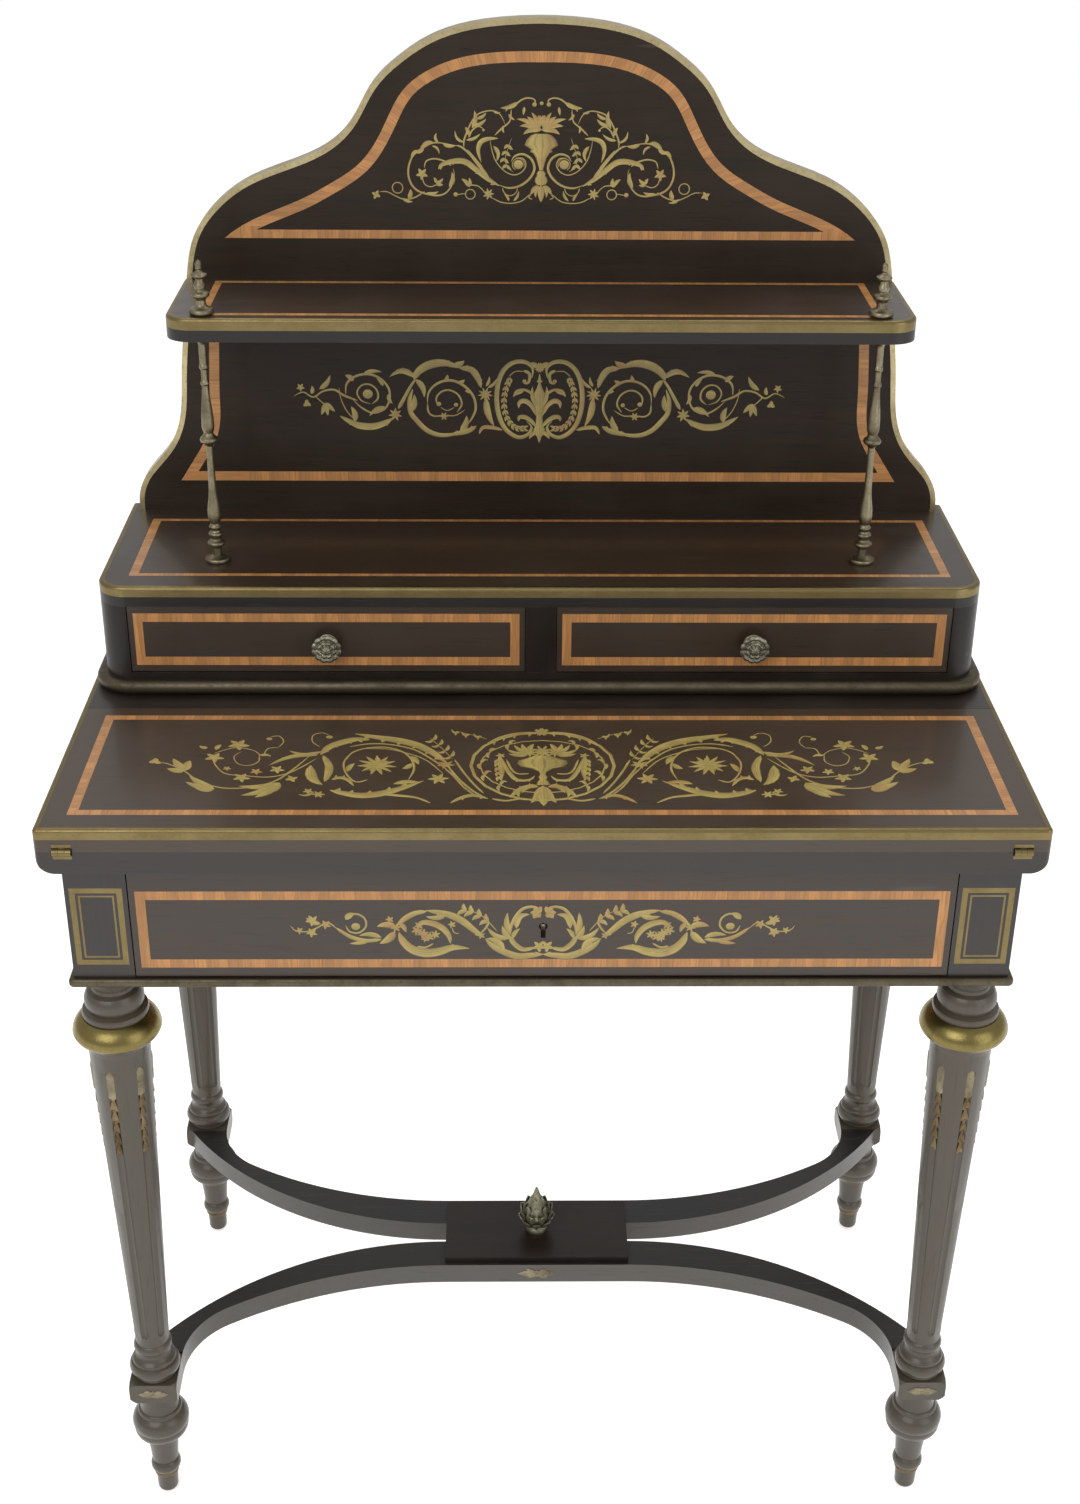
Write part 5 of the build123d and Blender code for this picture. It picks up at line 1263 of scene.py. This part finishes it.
# the cone's scales: at the lowest row, and the change up to the highest one
SCALE_HEIGHT = (10.5, 24.0)
SCALE_LEAN = (-34.0, 62.0)
SCALE_SIZE = (1.42, -0.50)
SCALE_THICKNESS = 0.0009
KNOB_PROFILE = (
    (0, -8.0), (2.4, -8.0), (2.4, 0.2), (9.0, 0.2), (9.2, 1.2), (8.0, 2.2), (5.4, 3.6),
    (5.0, 8.5), (7.0, 10.1), (11.6, 11.1), (13.2, 12.1), (13.0, 13.3), (11.0, 14.3),
    (9.0, 13.7), (8.2, 14.1), (7.8, 15.4), (6.4, 15.9), (5.0, 15.1), (4.4, 15.6), (3.6, 17.1),
    (2.0, 17.7), (0, 17.9))
KNOB_NECK = 9.5
ROSETTE_RADIUS = 8.6
EYE_PROFILE = (
    (0, 0.0), (2.6, 0.0), (2.8, 0.7), (2.0, 1.3), (1.4, 1.2), (1.0, 1.8), (0, 2.0))

# half widths of the mounts in the middle and at the sides, in metres
MIDDLE_MOUNT = 0.020
SIDE_MOUNT = 0.014


def husk_string():
    """One flute's ornament, upright along Z: a plain rod above a string of opening husks."""
    length = sizes().husk_length / MM
    parts = [lathe("flute_rod", [
        (0, ROD_BOTTOM), (3.3, ROD_BOTTOM), (3.7, ROD_BOTTOM + 1.2), (3.7, ROD_TOP - 5.1),
        (3.0, ROD_TOP - 2.0), (1.6, ROD_TOP - 0.3), (0, ROD_TOP)], 16)]
    for number in range(HUSK_COUNT):
        top = ROD_BOTTOM - HUSK_GAP - number * length
        size = FIRST_HUSK - HUSK_SHRINK * number
        bell = lathe("husk", [(radius * size, top - drop) for radius, drop in HUSK_PROFILE], 18)

        def petals(point, top=top):
            drop = (top * MM - point.z) / (HUSK_DROP * MM)
            angle = math.atan2(point.y, point.x)
            wave = math.cos(3 * angle + math.pi / 2)
            point.x *= 1.0 + 0.22 * wave * drop
            point.y *= 1.0 + 0.22 * wave * drop
            point.z -= 0.0012 * wave * max(0.0, drop - 0.3)
            return point

        reshape(bell, petals)
        parts.append(bell)
    return joined("husk_string", parts)


class DESK_OT_cast_husks(bpy.types.Operator):
    """Fill the upper ends of the legs' flutes with strings of husks"""

    bl_idname = "desk.cast_husks"
    bl_label = "Cast the husks"

    def execute(self, context):
        string = husk_string()
        taper = (COLUMN_TOP[0] - COLUMN_BOTTOM[0]) / (COLUMN_TOP[1] - COLUMN_BOTTOM[1])
        squeeze = Matrix.Diagonal(HUSK_SQUEEZE)
        for leg in LEG_PLACES:
            low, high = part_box(f"leg_{leg}")
            centre = (low + high) / 2
            side = 1 if centre.x > 0 else -1
            strings = []
            for count in range(FLUTE_COUNT):
                turn = FLUTE_PHASE + 2 * math.pi * count / FLUTE_COUNT
                angle = -math.pi / 2 - side * turn
                foot_radius = (COLUMN_BOTTOM[0] - FLUTE_OUT + HUSK_LIFT) * MM
                shear = Matrix.Identity(4)
                shear[1][2] = -taper
                shear[1][3] = -foot_radius + taper * COLUMN_BOTTOM[1] * MM
                spin = Matrix.Rotation(angle + math.pi / 2, 4, "Z")
                place = Matrix.Translation((centre.x, centre.y, 0.0))
                strings.append(copy_of(string, place @ spin @ shear @ squeeze, "husks"))
            whole = joined(f"husks_{leg}", strings)
            dress(whole, "worn husk gilding", "grey rod gilding")
            for face in whole.data.polygons:
                face.material_index = 1 if face.center.z > ROD_BOTTOM * MM else 0
            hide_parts(f"inserts_{leg}")
            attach(whole, "desk")
        bpy.data.objects.remove(string)
        return {"FINISHED"}


class DESK_OT_cast_cone(bpy.types.Operator):
    """Cast the scaly cone with its pointed tip on the stretcher"""

    bl_idname = "desk.cast_cone"
    bl_label = "Cast the stretcher's cone"

    def execute(self, context):
        low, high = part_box("stretcher_finial")
        centre = (low + high) / 2
        core = lathe("cone_core", CONE_PROFILE)

        def flutes(point):
            height = point.z / MM
            if height > CONE_NECK:
                angle = math.atan2(point.y, point.x)
                wave = 1.0 + 0.22 * math.cos(5 * angle + height * 0.12)
                point.x *= wave
                point.y *= wave
            return point

        reshape(core, flutes)
        scale = scale_leaf()
        parts = [core]
        rows = sizes().bud_rows
        around = sizes().cone_scales
        for row in range(rows):
            share = row / max(rows - 1, 1)
            height = SCALE_HEIGHT[0] + SCALE_HEIGHT[1] * share
            swell = math.sin(math.pi * min(1.0, 0.16 + share * 0.80))
            radius = 7.6 + 6.4 * swell - 1.2 * share
            lean = math.radians(SCALE_LEAN[0] + SCALE_LEAN[1] * share)
            size = SCALE_SIZE[0] + SCALE_SIZE[1] * share
            for count in range(around):
                turn = 2 * math.pi * (count + 0.5 * (row % 2)) / around
                place = Matrix.Translation((radius * MM, 0, height * MM))
                matrix = (Matrix.Rotation(turn, 4, "Z") @ place
                          @ Matrix.Rotation(-lean, 4, "Y") @ Matrix.Scale(size, 4))
                parts.append(copy_of(scale, matrix, "scale"))
        bpy.data.objects.remove(scale)
        cone = joined("stretcher_cone", parts)
        cone.data.transform(Matrix.Translation((centre.x, centre.y, low.z)))
        dress(cone, "pale cone bronze")
        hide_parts("stretcher_finial")
        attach(cone, "desk")
        return {"FINISHED"}


def scale_leaf():
    """One pointed, keeled scale of the cone, standing along Z at the origin and facing +X."""
    bpy.ops.object.select_all(action="DESELECT")
    bpy.ops.mesh.primitive_grid_add(x_subdivisions=4, y_subdivisions=5, size=2.0)
    scale = bpy.context.object

    def form(point):
        across, along = point.x, (point.y + 1) / 2
        half = 3.9 * (1.0 - along ** 2.2) ** 0.6 * (0.72 + 0.5 * along) + 0.05
        keel = 1.5 * (1 - abs(across)) * (1 - 0.5 * along) + 1.2 * along
        return Vector((keel * MM, across * half * MM, (along * 10.0 - 1.5) * MM))

    reshape(scale, form)
    thicken(scale, SCALE_THICKNESS)
    edit(scale)
    close_mesh()
    return scale


class DESK_OT_cast_knobs(bpy.types.Operator):
    """Cast the rosette knobs of the small drawers"""

    bl_idname = "desk.cast_knobs"
    bl_label = "Cast the drawer knobs"

    def execute(self, context):
        petals = sizes().knob_petals
        for side in ("left", "right"):
            low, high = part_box(f"{side}_drawer_knob")
            face_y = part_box(f"{side}_drawer_front")[0].y
            knob = lathe(f"{side}_knob", KNOB_PROFILE, 72)

            def rosette(point):
                height = point.z / MM
                radius = math.hypot(point.x, point.y) / MM
                if height > KNOB_NECK and radius > 0.5:
                    outer = radius > ROSETTE_RADIUS
                    count, depth, sink = (petals, 0.07, 0.6) if outer else (petals - 4, 0.16, 1.3)
                    lobe = abs(math.sin(count * math.atan2(point.y, point.x) / 2))
                    pull = 1.0 - depth * (1.0 - lobe) ** 1.5
                    point.x *= pull
                    point.y *= pull
                    point.z -= sink * MM * (1.0 - lobe) ** 2 * min(1.0, radius / 8.0)
                return point

            reshape(knob, rosette)
            centre = (low + high) / 2
            place = Matrix.Translation((centre.x, face_y, centre.z))
            knob.data.transform(place @ Matrix.Rotation(math.pi / 2, 4, "X"))
            dress(knob, "dark knob bronze")
            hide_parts(f"{side}_drawer_knob")
            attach(knob, f"{side}_drawer")
        return {"FINISHED"}


class DESK_OT_cast_mounts(bpy.types.Operator):
    """Cast the leafy mounts on the front of the stretcher and its blocks"""

    bl_idname = "desk.cast_mounts"
    bl_label = "Cast the stretcher's mounts"

    def execute(self, context):
        low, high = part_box("stretcher_ornaments")
        mesh_points = [vertex.co for vertex in NODES["stretcher_ornaments"].data.vertices]
        mounts = []
        for middle, half in ((0.0, MIDDLE_MOUNT), (low.x + SIDE_MOUNT, SIDE_MOUNT),
                             (high.x - SIDE_MOUNT, SIDE_MOUNT)):
            own = [point for point in mesh_points if abs(point.x - middle) < half + MM]
            back_y = max(point.y for point in own)
            height = (max(point.z for point in own) + min(point.z for point in own)) / 2
            mounts.append(leafy_mount((middle, back_y, height), half / MM))
        whole = joined("stretcher_mounts", mounts)
        dress(whole, "grey rod gilding")
        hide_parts("stretcher_ornaments")
        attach(whole, "desk")
        return {"FINISHED"}


def leafy_mount(place, half):
    """A small mount with a round eye, a leaf to each side and short leaves above and below."""
    leaves = []
    short = half * 0.62
    for turn, length, width in (
            (0, half, 3.0), (180, half, 3.0), (28, short, 2.2), (-28, short, 2.2),
            (152, short, 2.2), (208, short, 2.2), (90, 4.4, 2.4), (-90, 4.4, 2.4)):
        bpy.ops.object.select_all(action="DESELECT")
        bpy.ops.mesh.primitive_uv_sphere_add(segments=12, ring_count=8, radius=1.0)
        leaf = bpy.context.object
        angle = math.radians(turn)

        def form(point, length=length, width=width, angle=angle):
            along = (point.x + 1) / 2
            across = point.y * width * (0.35 + 0.9 * math.sin(math.pi * along ** 0.8))
            lift = max(0.0, point.z) * 1.3 * (1.0 - 0.35 * along) + 0.3 * abs(point.y)
            reach = along * length
            x = reach * math.cos(angle) - across * math.sin(angle)
            z = reach * math.sin(angle) + across * math.cos(angle)
            return Vector((x * MM, -lift * MM, z * MM))

        reshape(leaf, form)
        leaves.append(leaf)
    eye = lathe("eye", EYE_PROFILE, 16)
    eye.data.transform(Matrix.Rotation(math.pi / 2, 4, "X"))
    leaves.append(eye)
    whole = joined("mount", leaves)
    whole.data.transform(Matrix.Translation(place))
    edit(whole)
    close_mesh(merge=0.00001)
    bpy.ops.object.shade_smooth_by_angle(angle=math.radians(50))
    return whole


TOOLING_LINES = ((0.006, 0.0016), (0.010, 0.0006), (0.020, 0.0006))  # inset and width, metres
TOOLING_RISE = 0.00012
TOOLING_THICKNESS = 0.0002


class DESK_OT_tool_leather(bpy.types.Operator):
    """Lay gilt lines round the edges of both writing leathers"""

    bl_idname = "desk.tool_leather"
    bl_label = "Tool the leathers"

    def execute(self, context):
        for node, body, up in (("fixed_leaf_leather", "desk", 1), ("leaf_leather", "leaf", -1)):
            low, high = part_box(node)
            face_z = high.z if up > 0 else low.z
            lines = []
            for inset, width in TOOLING_LINES:
                bpy.ops.object.select_all(action="DESELECT")
                bpy.ops.mesh.primitive_plane_add(size=1.0, location=(0.0, 0.0, 0.0))
                line = bpy.context.object
                span = (high.x - low.x - 2 * inset, high.y - low.y - 2 * inset)
                middle = (low + high) / 2
                place = Matrix.Translation((middle.x, middle.y, face_z + up * TOOLING_RISE))
                line.data.transform(place @ Matrix.Diagonal((span[0], span[1], 1.0, 1.0)))
                edit(line)
                bpy.ops.mesh.inset(thickness=width)
                bpy.ops.mesh.delete(type="FACE")
                bpy.ops.mesh.select_all(action="SELECT")
                if up < 0:
                    bpy.ops.mesh.flip_normals()
                bpy.ops.object.mode_set(mode="OBJECT")
                thicken(line, TOOLING_THICKNESS)
                lines.append(line)
            whole = joined(f"tooling_{body}", lines)
            dress(whole, "gilt brass")
            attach(whole, body)
        return {"FINISHED"}


# ---- stage
# lamp: place, point it looks at, width and height, in metres
LAMPS = {
    "key": ((-1.4, -2.6, 2.9), (0.0, 0.0, 0.7), (2.4, 2.4)),
    "fill": ((2.2, -2.0, 1.6), (0.0, 0.0, 0.6), (1.8, 2.4)),
    "top": ((0.1, 0.9, 3.2), (0.0, 0.0, 0.7), (2.6, 1.6)),
}
FILL_SHARE = 0.42
SENSOR_WIDTH = 36.0
NEAREST_SEEN = 0.05
FLOOR_SIZE = 14.0
FLOOR_GLOW = 0.55
FLOOR_TONES = ((0.86, 0.86, 0.85, 1.0), (0.90, 0.90, 0.89, 1.0))


def area_light(name, place, aim, size, power):
    """A soft rectangular lamp at a place, turned to look at a point."""
    lamp = bpy.data.lights.new(name, "AREA")
    lamp.shape = "RECTANGLE"
    lamp.size, lamp.size_y = size
    lamp.energy = power
    light = new_object(name, lamp)
    light.location = place
    light.rotation_euler = (Vector(aim) - Vector(place)).to_track_quat("-Z", "Y").to_euler()


def seen_as_white(nodes):
    """1 for the rays that show the background: camera, mirror and glass rays."""
    path = nodes.add("ShaderNodeLightPath").outputs
    first = nodes.plus(path["Is Camera Ray"], path["Is Glossy Ray"], clamp=True)
    return nodes.plus(first, path["Is Transmission Ray"], clamp=True)


class DESK_OT_set_stage(bpy.types.Operator):
    """Set the camera, the soft lights, the world and the pale floor"""

    bl_idname = "desk.set_stage"
    bl_label = "Set the stage"

    def execute(self, context):
        scene = context.scene
        stage = scene.desk_stage
        scene.view_settings.view_transform = "Standard"
        down, yaw, roll = stage.camera_down, stage.camera_yaw, stage.camera_roll
        ahead = Vector((
            math.sin(yaw) * math.cos(down), math.cos(yaw) * math.cos(down), -math.sin(down)))
        right = Vector((math.cos(yaw), -math.sin(yaw), 0.0))
        up = right.cross(ahead)
        right, up = (
            right * math.cos(roll) + up * math.sin(roll),
            up * math.cos(roll) - right * math.sin(roll),
        )
        camera_data = bpy.data.cameras.new("camera")
        camera_data.lens = stage.camera_lens
        camera_data.sensor_width = SENSOR_WIDTH
        camera_data.clip_start = NEAREST_SEEN
        camera = new_object("camera", camera_data)
        camera.matrix_world = Matrix.Translation(stage.camera_place) @ Matrix(
            (right, up, -ahead)).transposed().to_4x4()
        scene.camera = camera

        powers = {"key": stage.key_power, "fill": stage.key_power * FILL_SHARE,
                  "top": stage.top_power}
        for name, power in powers.items():
            area_light(name, *LAMPS[name], power)

        world = bpy.data.worlds.new("studio")
        scene.world = world
        world.use_nodes = True
        nodes = Nodes(world.node_tree)
        background = world.node_tree.nodes["Background"]
        nodes.put(background.inputs["Color"], (1.0, 1.0, 1.0, 1.0))
        path = nodes.add("ShaderNodeLightPath").outputs
        level = nodes.add("ShaderNodeMix", {
            0: path["Is Camera Ray"], 2: stage.world_level, 3: 1.0}, data_type="FLOAT")
        nodes.put(background.inputs["Strength"], level.outputs[0])

        bpy.ops.object.select_all(action="DESELECT")
        bpy.ops.mesh.primitive_plane_add(size=FLOOR_SIZE, location=(0.0, 0.0, 0.0))
        floor = context.object
        floor.name = "floor"
        material, nodes, shader = new_material("pale floor", Roughness=0.85, Specular_IOR_Level=0.1)
        cloud = nodes.noise(nodes.place(), 1.3, 2.0)
        nodes.put(shader["Base Color"], nodes.mix(cloud, *FLOOR_TONES))
        shader["Emission Color"].default_value = (1.0, 1.0, 1.0, 1.0)
        nodes.put(shader["Emission Strength"], nodes.times(seen_as_white(nodes), FLOOR_GLOW))
        floor.data.materials.append(material)
        return {"FINISHED"}


class DESK_PT_panel(bpy.types.Panel):
    """Lists the desk's settings and steps"""

    bl_idname = "DESK_PT_panel"
    bl_label = "Writing desk"
    bl_space_type = "VIEW_3D"
    bl_region_type = "UI"
    bl_category = "Desk"

    def draw(self, context):
        for name in SETTINGS:
            group = getattr(context.scene, name)
            for key in group.__annotations__:
                self.layout.prop(group, key)
        for step in STEPS:
            self.layout.operator(step.bl_idname)


STEPS = (
    DESK_OT_finish_frame,
    DESK_OT_inlay_upper,
    DESK_OT_inlay_middle,
    DESK_OT_inlay_leaf,
    DESK_OT_inlay_drawer,
    DESK_OT_cast_husks,
    DESK_OT_cast_cone,
    DESK_OT_cast_knobs,
    DESK_OT_cast_mounts,
    DESK_OT_tool_leather,
    DESK_OT_set_stage,
)
SETTINGS = {"desk_finishes": DeskFinishes, "desk_sizes": DeskSizes, "desk_stage": DeskStage}
CLASSES = tuple(SETTINGS.values()) + STEPS + (DESK_PT_panel,)


def register():
    for item in CLASSES:
        bpy.utils.register_class(item)
    for name, group in SETTINGS.items():
        setattr(bpy.types.Scene, name, bpy.props.PointerProperty(type=group))


def unregister():
    for name in SETTINGS:
        delattr(bpy.types.Scene, name)
    for item in reversed(CLASSES):
        bpy.utils.unregister_class(item)


def main():
    register()
    for step in STEPS:
        group, name = step.bl_idname.split(".")
        getattr(getattr(bpy.ops, group), name)()


if __name__ == "__main__":
    main()
